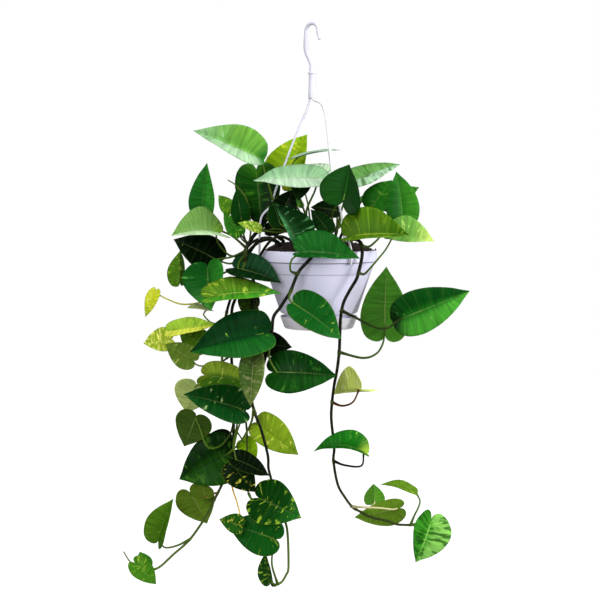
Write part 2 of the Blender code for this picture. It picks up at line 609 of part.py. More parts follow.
                 wide=0.8),
            leaf((36, -260, 16), (-2, -255, 20), (0.0, 0.5, 0.85), [(34, -286, 12), (40, -272, 14)],
                 wide=0.75),
        ]),
    "shoot_front": stem_plan(
        (-14, 34),
        [(-16, -294, 38), (-18, -290, 42)],
        [
            leaf((-20, -306, 60), (-52, -250, 46), (0.62, 0.34, 0.7), [(-18, -290, 42), (-17, -297, 52)],
                 wide=0.98, fold=34),
            leaf((24, -290, 38), (-2, -258, 34), (0.2, 0.4, 0.9), [(-16, -294, 38), (6, -292, 38)],
                 wide=0.7),
            leaf((-44, -280, 42), (-57, -246, 37), (0.2, 0.4, 0.9), [(-17, -292, 40), (-34, -286, 42)],
                 wide=0.9),
        ]),
    "shoot_right_front": stem_plan(
        (30, 44),
        [(31, -298, 50), (33, -299, 56)],
        [
            leaf((50, -297, 72), (136, -294, 80), (0.0, 0.75, 0.66), [(33, -299, 56), (38, -301, 64)],
                 wide=0.95, fold=35),
        ]),
    "shoot_rear_right": stem_plan(
        (40, -30),
        [(42, -292, -32), (46, -284, -34)],
        [
            leaf((102, -252, -16), (150, -227, -22), (0.0, 0.5, 0.85), [(46, -284, -34), (76, -268, -26)],
                 wide=0.6),
            leaf((60, -256, -50), (86, -232, -96), (0.2, 0.7, -0.6), [(46, -284, -34), (54, -268, -40)]),
            leaf((66, -284, -58), (108, -268, -96), (0.4, 0.6, -0.6), [(44, -288, -33), (56, -284, -48)]),
        ]),
    "shoot_rear_left": stem_plan(
        (-20, -36),
        [(-22, -292, -38), (-26, -284, -40)],
        [
            leaf((-56, -252, -50), (-92, -218, -82), (-0.3, 0.7, -0.6), [(-26, -284, -40), (-42, -266, -46)]),
            leaf((-24, -248, -60), (-44, -214, -106), (-0.1, 0.7, -0.6), [(-25, -286, -39), (-25, -266, -50)]),
            leaf((0, -276, -64), (-6, -290, -122), (0.0, 0.8, -0.5), [(-22, -290, -38), (-10, -280, -52)]),
        ]),
}


def make_pot():
    """The pot: a tapered cup with a thicker rim band and a foot ring that stands in the saucer."""
    body = RIM_RADIUS - RIM_LIP
    slope = (body - POT_BASE_RADIUS) / (POT_HEIGHT - RIM_BAND)
    inner_base = POT_BASE_RADIUS - WALL
    neck_in = NECK_RADIUS - WALL
    foot = -POT_HEIGHT - NECK_HEIGHT
    profile = [
        (RIM_RADIUS - 1.2, 0.0), (RIM_RADIUS, -1.4), (RIM_RADIUS - 0.4, -RIM_BAND), (body, -RIM_BAND),
        (body - slope * 16, -RIM_BAND - 16), (body - slope * 16 - 0.6, -RIM_BAND - 16.6),
        (POT_BASE_RADIUS, -POT_HEIGHT + 2), (POT_BASE_RADIUS - 2, -POT_HEIGHT), (NECK_RADIUS, -POT_HEIGHT),
        (NECK_RADIUS, foot), (neck_in, foot), (neck_in, -POT_HEIGHT), (0.0, -POT_HEIGHT),
        (0.0, -POT_HEIGHT + WALL), (inner_base, -POT_HEIGHT + WALL), (body - WALL, -RIM_BAND),
        (RIM_RADIUS - WALL - 0.6, -3.0), (RIM_RADIUS - WALL, 0.0),
    ]
    pot = turned("pot", profile, 28)
    cutters = []
    for index in range(DRAIN_HOLES):
        angle = 2 * pi * index / DRAIN_HOLES
        base = plain(POT_X + DRAIN_RING * cos(angle), DRAIN_RING * sin(angle), RIM_Z - POT_HEIGHT - 3)
        cutters.append(pillar(f"drain_{index}", base, WALL + 6, DRAIN_RADIUS, 8))
    return combine(pot, cutters, "DIFFERENCE")


def make_saucer():
    """The drip saucer: a shallow flared dish under the pot, with a low ring inside the pot's foot."""
    top = -POT_HEIGHT - 4.5
    bottom = top - SAUCER_HEIGHT
    floor = bottom + SAUCER_FLOOR
    clip = NECK_RADIUS - WALL - GAP
    profile = [
        (0.0, floor), (clip - 2.0, floor), (clip - 2.0, floor + 6), (clip, floor + 6), (clip, floor),
        (SAUCER_BASE_RADIUS + 0.9, floor), (SAUCER_TOP_RADIUS - SAUCER_WALL, top),
        (SAUCER_TOP_RADIUS, top), (SAUCER_BASE_RADIUS + 1.2, bottom + 1.5), (SAUCER_BASE_RADIUS, bottom),
        (0.0, bottom),
    ]
    return turned("saucer", profile, 28)


def make_soil(paths):
    """The soil: a plug that fills the pot, mounded above the rim, with a plain hole for each stem."""
    side = RIM_RADIUS - RIM_LIP - WALL - 1.3 * GAP
    base = POT_BASE_RADIUS - WALL - 1.3 * GAP
    floor = -POT_HEIGHT + WALL + GAP
    crown = [(radius, soil_height(radius)) for radius in (0.0, 40.0, 58.0, 69.0)]
    profile = crown + [(side + 0.8, SOIL_EDGE), (side, -RIM_BAND), (base, floor), (0.0, floor)]
    soil = turned("soil", profile, 28)
    cutters = []
    for name, path in paths.items():
        hole = (PLANTS[name]["radius"][0] + GAP + 0.05) / cos(pi / 8)
        base = path[0] - Vector((0, 0, GAP * MM))
        cutters.append(pillar(name + "_hole", base, ROOTED + 20, hole, 8))
    return combine(soil, cutters, "DIFFERENCE")


def make_hook():
    """The hook, its stem, a collar and a grip with three plain sockets for the strands."""
    turn = radians(HOOK_TURN)
    centre = -(HOOK_BEND - HOOK_ROD)
    line = [(-1.0, COLLAR_Z - 4), (-1.0, COLLAR_Z + 6), (-3.0, -50.0), (-9.5, -36.0), (-HOOK_BEND, -24.0)]
    for step in range(9):
        angle = pi - pi * step / 8
        line.append((HOOK_BEND * cos(angle), centre + HOOK_BEND * sin(angle)))
    line += [(HOOK_BEND + 0.6, centre - 6.0), (HOOK_BEND + 2.4, centre - 12.0)]
    path = [plain(along * cos(turn), along * sin(turn), height) for along, height in line]
    radii = [HOOK_ROD] * (len(path) - 1) + [HOOK_ROD * 0.7]
    hook = tube("hanger_hook", path, radii, 2)
    bm = bmesh.new()
    profile = [
        (0.0, COLLAR_Z + 14), (3.4, COLLAR_Z + 13), (4.2, COLLAR_Z + 1.5), (COLLAR_RADIUS, COLLAR_Z + 1.2),
        (COLLAR_RADIUS, COLLAR_Z - 0.6), (4.3, COLLAR_Z - 1.0), (4.9, SOCKET_Z + 8), (COLLAR_RADIUS, SOCKET_Z),
        (0.0, SOCKET_Z),
    ]
    corners = [bm.verts.new(plain(radius, 0.0, height)) for radius, height in profile]
    edges = [bm.edges.new(pair) for pair in zip(corners, corners[1:] + corners[:1])]
    bmesh.ops.spin(bm, geom=corners + edges, cent=(0, 0, 0), axis=(0, 0, 1), angle=2 * pi, steps=16,
                   use_merge=True)
    bmesh.ops.remove_doubles(bm, verts=bm.verts, dist=1e-6)
    grip = finish_bmesh(bm, "grip")
    hook = combine(hook, [grip], "UNION")
    cutters = []
    for name, angle in STRAND_ANGLES.items():
        turn = radians(angle)
        base = plain(SOCKET_RING * cos(turn), -SOCKET_RING * sin(turn), SOCKET_Z - 2)
        cutters.append(pillar("socket_" + name, base, SOCKET_DEPTH + 2, (STRAND + GAP + 0.05) / cos(pi / 8), 8))
    return combine(hook, cutters, "DIFFERENCE")


def make_strand(name, angle):
    """One strand of the hanger: from its socket down to the rim, with a foot hooked under the rim band."""
    turn = radians(angle)
    out = Vector((cos(turn), sin(turn), 0))
    start = out * SOCKET_RING * MM
    axis = Vector((POT_X, 0, 0)) * MM
    rim = RIM_RADIUS + GAP + STRAND + 0.4

    def beside(radius, height):
        return axis + out * radius * MM + Vector((0, 0, (RIM_Z + height) * MM))

    top = start + Vector((0, 0, (SOCKET_Z + SOCKET_DEPTH - GAP) * MM))
    mouth = start + Vector((0, 0, (SOCKET_Z - 1.0) * MM))
    under = -RIM_BAND - GAP - STRAND
    route = [mouth] + [beside(radius, height) for radius, height in STRAND_ROUTES[name]]
    route += [beside(rim, 4), beside(rim, under)]
    path = [top] + smooth_path(route, 26.0)
    path.append(beside(RIM_RADIUS - RIM_LIP + GAP + 0.6, under))
    return tube("hanger_strand_" + name, path, [STRAND] * len(path), 1)


HANGER_WHITE = (0.86, 0.86, 0.90)
POT_LAVENDER = (0.80, 0.79, 0.86)
SAUCER_GREY = (0.72, 0.70, 0.74)
SOIL_BROWN = (0.02, 0.015, 0.01)
FOLIAGE = {
    "vine_right": (0.06, 0.22, 0.03),
    "vine_inner": (0.30, 0.36, 0.05),
    "shoot_right_front": (0.22, 0.42, 0.04),
}
LEAF_GREEN = (0.04, 0.20, 0.03)

# The pieces, from the hook down
paint(make_hook(), material("hanger_plastic", HANGER_WHITE, 0.35))
for side, strand_angle in STRAND_ANGLES.items():
    paint(make_strand(side, strand_angle), material(f"strand_{side}_plastic", HANGER_WHITE, 0.35))
paint(make_pot(), material("pot_plastic", POT_LAVENDER, 0.45))
paint(make_saucer(), material("saucer_plastic", SAUCER_GREY, 0.45))
paint(make_soil({name: stem_path(plan) for name, plan in PLANTS.items()}),
      material("potting_soil", SOIL_BROWN, 0.95))
for name, plan in PLANTS.items():
    paint(grow(name, plan), material(name + "_green", FOLIAGE.get(name, LEAF_GREEN), 0.4))
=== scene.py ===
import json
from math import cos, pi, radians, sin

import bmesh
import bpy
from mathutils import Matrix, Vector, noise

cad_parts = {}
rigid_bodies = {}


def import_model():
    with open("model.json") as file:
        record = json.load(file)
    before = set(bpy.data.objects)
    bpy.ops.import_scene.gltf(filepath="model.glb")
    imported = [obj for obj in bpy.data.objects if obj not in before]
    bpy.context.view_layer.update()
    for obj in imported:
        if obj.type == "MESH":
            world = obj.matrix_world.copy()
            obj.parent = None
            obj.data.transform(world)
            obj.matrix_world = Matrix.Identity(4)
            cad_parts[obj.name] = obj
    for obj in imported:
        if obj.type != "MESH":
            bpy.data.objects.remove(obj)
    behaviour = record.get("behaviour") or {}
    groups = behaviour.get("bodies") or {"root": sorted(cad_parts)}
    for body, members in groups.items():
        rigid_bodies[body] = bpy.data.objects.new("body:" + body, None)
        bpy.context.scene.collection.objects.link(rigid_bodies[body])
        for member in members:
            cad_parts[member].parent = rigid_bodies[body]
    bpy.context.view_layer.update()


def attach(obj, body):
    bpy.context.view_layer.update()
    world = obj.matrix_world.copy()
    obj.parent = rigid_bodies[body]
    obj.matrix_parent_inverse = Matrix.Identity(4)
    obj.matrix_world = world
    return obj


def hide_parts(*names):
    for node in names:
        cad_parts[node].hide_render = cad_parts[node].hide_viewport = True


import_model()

# %% [markdown]
# # A variegated pothos in a hanging pot
#
# Pothos is a climbing vine that people hang up so that its stems trail. The plant's solids are already
# loaded: a hook, three strands, a pot, a saucer, a plug of soil and fifteen leafy stems, in metres, with
# the hook's seat at the origin and the front towards -Y.
#
# Each of those solids is plain. This lesson dresses it: it makes a finer piece in the same place, from the
# same measurements, and gives it the finish of the real thing. Every piece is a closed body with its place
# in its own mesh, so that a pattern in object coordinates lies where it should.

MM = 0.001

# %% [markdown]
# ## The camera
#
# The plant was looked at from about its own height, a little from above, from a distance of 1.67 m. A lens
# of about 72 mm on a 36 mm wide sensor gives the same narrow view, with little perspective. The camera
# points along +Y and leans 4.5 degrees down.

# %% A camera in front of the plant
EYE = Vector((-0.01655, -1.670, -0.2489))
LEAN = radians(4.5)
SENSOR_MM, PICTURE_WIDTH, FOCAL_PIXELS = 36.0, 600, 1193
lens = bpy.data.cameras.new("front_view")
lens.sensor_fit = "HORIZONTAL"
lens.sensor_width = SENSOR_MM
lens.lens = SENSOR_MM * FOCAL_PIXELS / PICTURE_WIDTH
camera = bpy.data.objects.new("front_view", lens)
camera.location = EYE
camera.rotation_euler = (pi / 2 - LEAN, 0, 0)
bpy.context.scene.collection.objects.link(camera)
bpy.context.scene.camera = camera
print("lens", round(lens.lens, 1), "mm")

# %% [markdown]
# ## The background
#
# A plant like this is pictured against plain white. A world that was as bright as it looks would flood the
# leaves from all sides and wash their greens out. So it shows full white to the camera alone, and counts as
# a light of about a third of that for everything else.

# %% A world that is white to look at and softer as a light
SOFT_STRENGTH, BRIGHT_STRENGTH = 0.36, 1.0
sky = bpy.data.worlds.new("studio_white")
sky.use_nodes = True
bpy.context.scene.world = sky
nodes, links = sky.node_tree.nodes, sky.node_tree.links
soft, bright = nodes["Background"], nodes.new("ShaderNodeBackground")
for each, strength in ((soft, SOFT_STRENGTH), (bright, BRIGHT_STRENGTH)):
    each.inputs["Color"].default_value = (1.0, 1.0, 1.0, 1.0)
    each.inputs["Strength"].default_value = strength
ray = nodes.new("ShaderNodeLightPath")
blend = nodes.new("ShaderNodeMixShader")
links.new(ray.outputs["Is Camera Ray"], blend.inputs["Fac"])
links.new(soft.outputs["Background"], blend.inputs[1])
links.new(bright.outputs["Background"], blend.inputs[2])
links.new(blend.outputs["Shader"], nodes["World Output"].inputs["Surface"])
bpy.context.scene.view_settings.view_transform = "Standard"
print("world strength to the eye and as a light:", BRIGHT_STRENGTH, SOFT_STRENGTH)

# %% [markdown]
# ## The soft boxes
#
# A studio lights a glossy plant from a large soft box above it, so that each leaf that lies flat catches a
# pale sheet, while the leaves under it stay deep green. A second box, in front and to the left, opens the
# shadows, and a third one at the right keeps that side of the pot from going grey. Area lights do the same
# here, and their shadows have soft edges because of their size.

# %% Three soft boxes: place, what each points at, width and depth in metres, and watts
SOFT_BOXES = {
    "overhead_soft_box": ((0.1, -0.5, 1.0), (0.0, 0.0, -0.35), (1.5, 1.0), 16.0),
    "front_soft_box": ((-0.7, -2.3, 0.35), (0.0, 0.0, -0.4), (1.0, 1.0), 36.0),
    "right_soft_box": ((1.2, -0.35, -0.2), (0.0, 0.0, -0.38), (0.8, 0.8), 18.0),
}
for name, (place, target, size, watts) in SOFT_BOXES.items():
    light = bpy.data.lights.new(name, "AREA")
    light.shape = "RECTANGLE"
    light.size, light.size_y = size
    light.energy = watts
    box = bpy.data.objects.new(name, light)
    box.location = place
    box.rotation_euler = (Vector(target) - Vector(place)).to_track_quat("-Z", "Y").to_euler()
    bpy.context.scene.collection.objects.link(box)

# %% [markdown]
# ## Materials
#
# Every colour below is an sRGB hex value, the way a paint chart gives it, and one function turns it into
# the linear numbers that Blender computes with. One more function adds a shader node, sets its values and
# links it, which keeps each material readable as a list of steps.

# %% The helpers for every material
# Settings that several nodes share: a mix of colours, and a step without a corner
COLOURS = {"data_type": "RGBA"}
SMOOTH = {"interpolation_type": "SMOOTHSTEP"}


def paint(hex_color):
    """An sRGB hex colour as linear red, green, blue and alpha."""
    shares = [int(hex_color[start:start + 2], 16) / 255 for start in (1, 3, 5)]
    linear = [share / 12.92 if share <= 0.04045 else ((share + 0.055) / 1.055) ** 2.4 for share in shares]
    return (*linear, 1.0)


def add_node(finish, kind, settings=None, **inputs):
    """Adds a node to a material. An input is a value, or another node's output that is linked to it. It
    goes by its label, or by n and its number where the labels of a node repeat."""
    node = finish.node_tree.nodes.new("ShaderNode" + kind)
    for name, value in (settings or {}).items():
        setattr(node, name, value)
    for name, value in inputs.items():
        key = int(name[1:]) if name[0] == "n" and name[1:].isdigit() else name.replace("_", " ")
        socket = node.inputs[key]
        if isinstance(value, bpy.types.NodeSocket):
            finish.node_tree.links.new(value, socket)
        else:
            socket.default_value = value
    return node


def new_finish(name, base, rough, ior):
    """A Principled material with its even values, and its shader node."""
    finish = bpy.data.materials.new(name)
    finish.use_nodes = True
    shader = finish.node_tree.nodes["Principled BSDF"]
    shader.inputs["Base Color"].default_value = paint(base)
    shader.inputs["Roughness"].default_value = rough
    shader.inputs["IOR"].default_value = ior
    return finish, shader


print("middle grey in linear numbers:", [round(share, 3) for share in paint("#808080")])

# %% [markdown]
# ### Moulded polypropylene
#
# Hanging pots are injection moulded from polypropylene, coloured all through: a satin surface, IOR about
# 1.49. This pot is a cool white with a lavender tint. Handling and watering leave faint greyish and tan
# patches a few centimetres wide, drawn by noise in object coordinates, and a thin dark line of painted
# shade lies under each ledge, drawn by the height alone. The orange peel of the mould is very shallow.
#
# The hanger is the same plastic. Its hook and its left strand get a duller copy, greyed with painted shade
# so that they show against white, and the two other strands a cleaner one.

# %% The plastics of the pot, the saucer and the hanger
POLYPROPYLENE_IOR = 1.49
PEEL_MM, PEEL_DEPTH_MM = 1.5, 0.05
# The painted shade under each ledge: its colour, where it is darkest and how far it fades, in mm
LEDGE_SHADE, LEDGE_SHADE_CORE_MM, LEDGE_SHADE_REACH_MM = "#4a4652", 0.2, 1.3
RIM_Z = -310.0
# Each ledge's height and the depth of its painted shade: the rim band's lower edge, and the step below it
LEDGES = ((RIM_Z - 15.8, 0.75), (RIM_Z - 31.6, 0.4))


def moulded_plastic(name, clean, dusty, rough, patch_mm, share, ledges=()):
    """Satin polypropylene with soft patches of dust, and a line of painted shade at each ledge."""
    finish, shader = new_finish(name, clean, rough, POLYPROPYLENE_IOR)
    place = add_node(finish, "TexCoord")
    patches = add_node(finish, "TexNoise", Vector=place.outputs["Object"], Scale=1000 / patch_mm,
                       Detail=3.0, Roughness=0.6)
    amount = add_node(finish, "MapRange", Value=patches.outputs["Fac"], From_Min=0.45, From_Max=0.75,
                      To_Min=0.0, To_Max=share)
    tone = add_node(finish, "Mix", COLOURS, n0=amount.outputs["Result"], n6=paint(clean), n7=paint(dusty))
    # Painted shade: a thin dark line under each ledge, where the ledge's shadow falls
    for height, depth in ledges:
        parts = add_node(finish, "SeparateXYZ", Vector=place.outputs["Object"])
        below = add_node(finish, "Math", {"operation": "MULTIPLY_ADD"}, n0=parts.outputs["Z"], n1=1000.0,
                         n2=-height)
        away = add_node(finish, "Math", {"operation": "ABSOLUTE"}, n0=below.outputs["Value"])
        ledge_shade = add_node(finish, "MapRange", SMOOTH, Value=away.outputs["Value"], From_Min=LEDGE_SHADE_CORE_MM,
                        From_Max=LEDGE_SHADE_REACH_MM, To_Min=depth, To_Max=0.0)
        tone = add_node(finish, "Mix", COLOURS, n0=ledge_shade.outputs["Result"], n6=tone.outputs[2],
                        n7=paint(LEDGE_SHADE))
    peel = add_node(finish, "TexNoise", Vector=place.outputs["Object"], Scale=1000 / PEEL_MM, Detail=1.0)
    relief = add_node(finish, "Bump", Height=peel.outputs["Fac"], Strength=0.06,
                      Distance=PEEL_DEPTH_MM * MM)
    finish.node_tree.links.new(tone.outputs[2], shader.inputs["Base Color"])
    finish.node_tree.links.new(relief.outputs["Normal"], shader.inputs["Normal"])
    return finish


POT_PLASTIC = moulded_plastic("moulded_polypropylene_lavender_white", "#dddcf4", "#d0cad4", 0.36, 55.0,
                              0.6, LEDGES)
SAUCER_PLASTIC = moulded_plastic("moulded_polypropylene_grey_white", "#e2e0e8", "#c6b9ac", 0.42, 40.0, 0.8)
HANGER_PLASTIC = moulded_plastic("moulded_polypropylene_hanger_white", "#f6f6fc", "#e6e4ec", 0.32, 30.0,
                                 0.6)
# The hook and the left strand: the same plastic greyed as painted shade, with dust patches on it
SHADED_HANGER_PLASTIC = moulded_plastic("moulded_polypropylene_hanger_painted_shade", "#cacad8", "#b6b4c2", 0.4, 30.0, 0.6)
print("plastics:", [each.name for each in (POT_PLASTIC, SAUCER_PLASTIC, HANGER_PLASTIC, SHADED_HANGER_PLASTIC)])

# %% [markdown]
# ### Potting mix
#
# Potting mix is peat and composted bark, nearly black when moist. The light comes back from crumbs of about
# three millimetres, some of them lighter brown, and from finer grains between them. So the colour follows
# cells of the first size, the relief follows noise of the second, and the surface is very rough.

# %% The potting mix
CRUMB_MM, GRAIN_MM = 3.0, 1.2
POTTING_MIX, mix_shader = new_finish("moist_peat_and_bark_mix", "#1b1410", 0.95, 1.4)
place = add_node(POTTING_MIX, "TexCoord")
crumbs = add_node(POTTING_MIX, "TexVoronoi", Vector=place.outputs["Object"], Scale=1000 / CRUMB_MM)
fines = add_node(POTTING_MIX, "TexNoise", Vector=place.outputs["Object"], Scale=1000 / GRAIN_MM, Detail=4.0)
tones = add_node(POTTING_MIX, "ValToRGB", Fac=crumbs.outputs["Color"])
for element, tone in zip(tones.color_ramp.elements, ("#070504", "#2c1c14")):
    element.color = paint(tone)
relief = add_node(POTTING_MIX, "Bump", Height=fines.outputs["Fac"], Strength=0.8, Distance=0.8 * MM)
POTTING_MIX.node_tree.links.new(tones.outputs["Color"], mix_shader.inputs["Base Color"])
POTTING_MIX.node_tree.links.new(relief.outputs["Normal"], mix_shader.inputs["Normal"])
print("potting mix:", POTTING_MIX.name)

# %% [markdown]
# ### Leaves
#
# A pothos leaf is thick and waxy: IOR about 1.46, a roughness near 0.35. Its midrib is sunk in, its surface
# rises and falls with the faint side veins, and the underside is a touch paler and duller. A waxy skin also
# lays a veil of white over the green, so the specular level is kept low here and the greens stay pure.
#
# Variegated kinds carry patches of another green that run along the veins. The patches are noise in the
# leaf's own coordinates (across it, along it, and a number for each leaf), cut off sharply at a height that
# the leaf's own share sets. Midrib, margin, veins and a fine mottling are laid over them in turn, and the
# mottling's lighter and darker streaks along the veins are partly painted sheen and shade.

# %% The waxy skin of the leaves
WAX_IOR, WAX_SPECULAR = 1.46, 0.025
VEINS_A_ROW = 1.35  # a leaf has nine rows
MIDRIB, MARGIN = (0.015, 0.055), (0.93, 1.0)  # as shares of the way from the midrib to the margin
# The mottling's cells are partly painted sheen and shade, in streaks along the veins
PATCH_STRETCH, MOTTLE_AND_SHEEN_STRETCH = (1.1, 1.5, 1.0), (0.55, 4.2, 1.0)  # across, along, from leaf to leaf
UNEVEN_MM = 9


def leaf_skin(name, rough, pale, relief_mm):
    """The skin of one side of the leaves; pale is the share of grey green mixed into it."""
    finish, shader = new_finish(name, "#2f7a1c", rough, WAX_IOR)
    shader.inputs["Specular IOR Level"].default_value = WAX_SPECULAR
    tone, streak, rib_tone, spot, amount = [
        add_node(finish, "Attribute", {"attribute_name": kept}).outputs
        for kept in ("tone", "streak", "rib", "leaf_place", "amount")]
    parts = add_node(finish, "SeparateXYZ", Vector=spot["Vector"])
    reach = add_node(finish, "Math", {"operation": "ABSOLUTE"}, n0=parts.outputs["X"])
    # Patches: the noise plus the leaf's share has to pass a fixed height
    stretched = add_node(finish, "VectorMath", {"operation": "MULTIPLY"}, n0=spot["Vector"],
                         n1=PATCH_STRETCH)
    broad = add_node(finish, "TexNoise", Vector=stretched.outputs["Vector"], Scale=1.3, Detail=3.5,
                     Roughness=0.6)
    need = add_node(finish, "Math", {"operation": "MULTIPLY_ADD"}, n0=amount["Fac"], n1=0.62, n2=-0.73)
    height = add_node(finish, "Math", {"operation": "ADD"}, n0=broad.outputs["Fac"],
                      n1=need.outputs["Value"])
    patch = add_node(finish, "MapRange", SMOOTH, Value=height.outputs["Value"], From_Min=-0.03,
                     From_Max=0.07, To_Max=0.8)
    patched = add_node(finish, "Mix", COLOURS, n0=patch.outputs["Result"], n6=tone["Color"],
                       n7=streak["Color"])
    # Midrib, margin and side veins
    rib = add_node(finish, "MapRange", SMOOTH, Value=reach.outputs["Value"], From_Min=MIDRIB[0],
                   From_Max=MIDRIB[1], To_Min=0.45, To_Max=0.0)
    ribbed = add_node(finish, "Mix", COLOURS, n0=rib.outputs["Result"], n6=patched.outputs[2],
                      n7=rib_tone["Color"])
    edge = add_node(finish, "MapRange", SMOOTH, Value=reach.outputs["Value"], From_Min=MARGIN[0],
                    From_Max=MARGIN[1], To_Max=0.1)
    edged = add_node(finish, "Mix", COLOURS, n0=edge.outputs["Result"], n6=ribbed.outputs[2],
                     n7=streak["Color"])
    turns = add_node(finish, "Math", {"operation": "MULTIPLY"}, n0=parts.outputs["Y"],
                     n1=2 * pi * VEINS_A_ROW)
    wave = add_node(finish, "Math", {"operation": "COSINE"}, n0=turns.outputs["Value"])
    vein = add_node(finish, "MapRange", Value=wave.outputs["Value"], From_Min=0.6, From_Max=1.0,
                    To_Max=0.07)
    veined = add_node(finish, "Mix", COLOURS, n0=vein.outputs["Result"], n6=edged.outputs[2],
                      n7=rib_tone["Color"])
    paled = add_node(finish, "Mix", COLOURS, n0=pale, n6=veined.outputs[2], n7=paint("#8fae78"))
    # Mottling and painted sheen: lighter and darker cells that are long in the direction of the veins
    along_veins = add_node(finish, "VectorMath", {"operation": "MULTIPLY"}, n0=spot["Vector"],
                           n1=MOTTLE_AND_SHEEN_STRETCH)
    cells = add_node(finish, "TexNoise", Vector=along_veins.outputs["Vector"], Scale=1.4, Detail=5.0,
                     Roughness=0.62)
    depth = add_node(finish, "MapRange", Value=cells.outputs["Fac"], From_Min=0.3, From_Max=0.7,
                     To_Min=0.66, To_Max=1.36)
    mottle_and_sheen = add_node(finish, "VectorMath", {"operation": "SCALE"}, n0=paled.outputs[2],
                       Scale=depth.outputs["Result"])
    # Relief: waves in step with the side veins, an uneven surface, and the sunken midrib
    quilt = add_node(finish, "Math", {"operation": "MULTIPLY"}, n0=wave.outputs["Value"],
                     n1=reach.outputs["Value"])
    place = add_node(finish, "TexCoord")
    uneven = add_node(finish, "TexNoise", Vector=place.outputs["Object"], Scale=1000 / UNEVEN_MM,
                      Detail=2.0)
    waves = add_node(finish, "Math", {"operation": "MULTIPLY_ADD"}, n0=uneven.outputs["Fac"], n1=1.6,
                     n2=quilt.outputs["Value"])
    deep = add_node(finish, "Math", {"operation": "MULTIPLY_ADD"}, n0=rib.outputs["Result"], n1=-2.2,
                    n2=waves.outputs["Value"])
    relief = add_node(finish, "Bump", Height=deep.outputs["Value"], Strength=0.6, Distance=relief_mm * MM)
    finish.node_tree.links.new(mottle_and_sheen.outputs["Vector"], shader.inputs["Base Color"])
    finish.node_tree.links.new(relief.outputs["Normal"], shader.inputs["Normal"])
    return finish


LEAF_TOP = leaf_skin("waxy_pothos_leaf_upper_side", 0.34, 0.0, 0.32)
LEAF_UNDER = leaf_skin("pothos_leaf_underside", 0.5, 0.03, 0.25)
print("leaf finishes:", LEAF_TOP.name, LEAF_UNDER.name)

# %% [markdown]
# ### Stems and stalks
#
# Old pothos stems are dark olive, nearly black, with a satin skin and lighter corky flecks; young ones and
# the leaf stalks are fresh green. Each point carries its own tone, and noise of about two millimetres adds
# the flecks and a shallow relief.

# %% The skin of the stems
FLECK_MM = 2.2
STEM_SKIN, stem_shader = new_finish("satin_pothos_stem_skin", "#1c2a10", 0.42, WAX_IOR)
stem_shader.inputs["Specular IOR Level"].default_value = 0.1
tone = add_node(STEM_SKIN, "Attribute", {"attribute_name": "tone"})
place = add_node(STEM_SKIN, "TexCoord")
flecks = add_node(STEM_SKIN, "TexNoise", Vector=place.outputs["Object"], Scale=1000 / FLECK_MM, Detail=3.0)
share = add_node(STEM_SKIN, "MapRange", Value=flecks.outputs["Fac"], From_Min=0.56, From_Max=0.7,
                 To_Max=0.35)
flecked = add_node(STEM_SKIN, "Mix", COLOURS, n0=share.outputs["Result"], n6=tone.outputs["Color"],
                   n7=paint("#6a5a34"))
relief = add_node(STEM_SKIN, "Bump", Height=flecks.outputs["Fac"], Strength=0.4, Distance=0.3 * MM)
STEM_SKIN.node_tree.links.new(flecked.outputs[2], stem_shader.inputs["Base Color"])
STEM_SKIN.node_tree.links.new(relief.outputs["Normal"], stem_shader.inputs["Normal"])
print("stem finish:", STEM_SKIN.name)

# %% [markdown]
# ## The measurements of the plant
#
# The plan is written the way the plant is seen from the front: across and up from the hook's seat and
# toward the viewer, all in millimetres. A plant is measured most easily in that way, because a picture
# gives the first two numbers of every leaf, and only the third has to be judged. One function turns such a
# point into a true place.

# %% From the plan to true places
POT_X, RIM_RADIUS = 10.0, 81.0
# The mix above the rim at its middle and at its edge, how flat it is, and how deep the stems stand
SOIL_CROWN, SOIL_EDGE, SOIL_ROUNDNESS, ROOTED = 12.0, -1.5, 5, 13.0
# The eye, and the point that it looks at
VIEWER = Vector((-16.5, -1670.0, -249.0))
VIEW_CENTRE = Vector((-16.8, 0.0, -385.0))
VIEW_DISTANCE, VIEW_DOWN = 1670.0, LEAN


def seen(across, up, toward):
    """The place that the viewer sees at (across, up), so many mm in front of the pot's axis."""
    down = up - VIEW_CENTRE.z
    ahead = VIEW_DISTANCE * cos(VIEW_DOWN) + down * sin(VIEW_DOWN)
    rise = down * cos(VIEW_DOWN) - VIEW_DISTANCE * sin(VIEW_DOWN)
    reach = (VIEW_DISTANCE - toward) / ahead
    return Vector((VIEWER.x + (across - VIEW_CENTRE.x) * reach, -toward, VIEWER.z + rise * reach)) * MM


def plain(x, toward, z):
    """A true place in millimetres."""
    return Vector((x, -toward, z)) * MM


def soil_height(radius):
    """Height of the potting mix above the rim, in mm, at a distance from the pot's axis."""
    share = min(radius / (RIM_RADIUS - 2.5), 1.0)
    return SOIL_CROWN + (SOIL_EDGE - SOIL_CROWN) * share ** SOIL_ROUNDNESS


def between(before, start, end, after, t):
    """The point at t, from 0 to 1, of a smooth curve from start to end that four points give."""
    leave, arrive = (end - before) / 2, (after - start) / 2
    return ((2 * t**3 - 3 * t**2 + 1) * start + (t**3 - 2 * t**2 + t) * leave
            + (3 * t**2 - 2 * t**3) * end + (t**3 - t**2) * arrive)


def smooth_path(points, spacing):
    """Points about `spacing` mm apart on one smooth curve through the given ones."""
    ends = [2 * points[0] - points[1], *points, 2 * points[-1] - points[-2]]
    path = []
    for four in zip(ends, ends[1:], ends[2:], ends[3:]):
        count = max(1, round((four[2] - four[1]).length / (spacing * MM)))
        path += [between(*four, step / count) for step in range(count)]
    return path + [points[-1]]


def nearest_on(path, place):
    """The point of a path that is nearest to a place."""
    found = []
    for start, end in zip(path, path[1:]):
        run = end - start
        share = min(max((place - start).dot(run) / run.length_squared, 0.0), 1.0)
        found.append(start + share * run)
    return min(found, key=lambda point: (point - place).length)


print("the rim's middle in metres:", [round(value, 4) for value in plain(POT_X, 0.0, RIM_Z)])

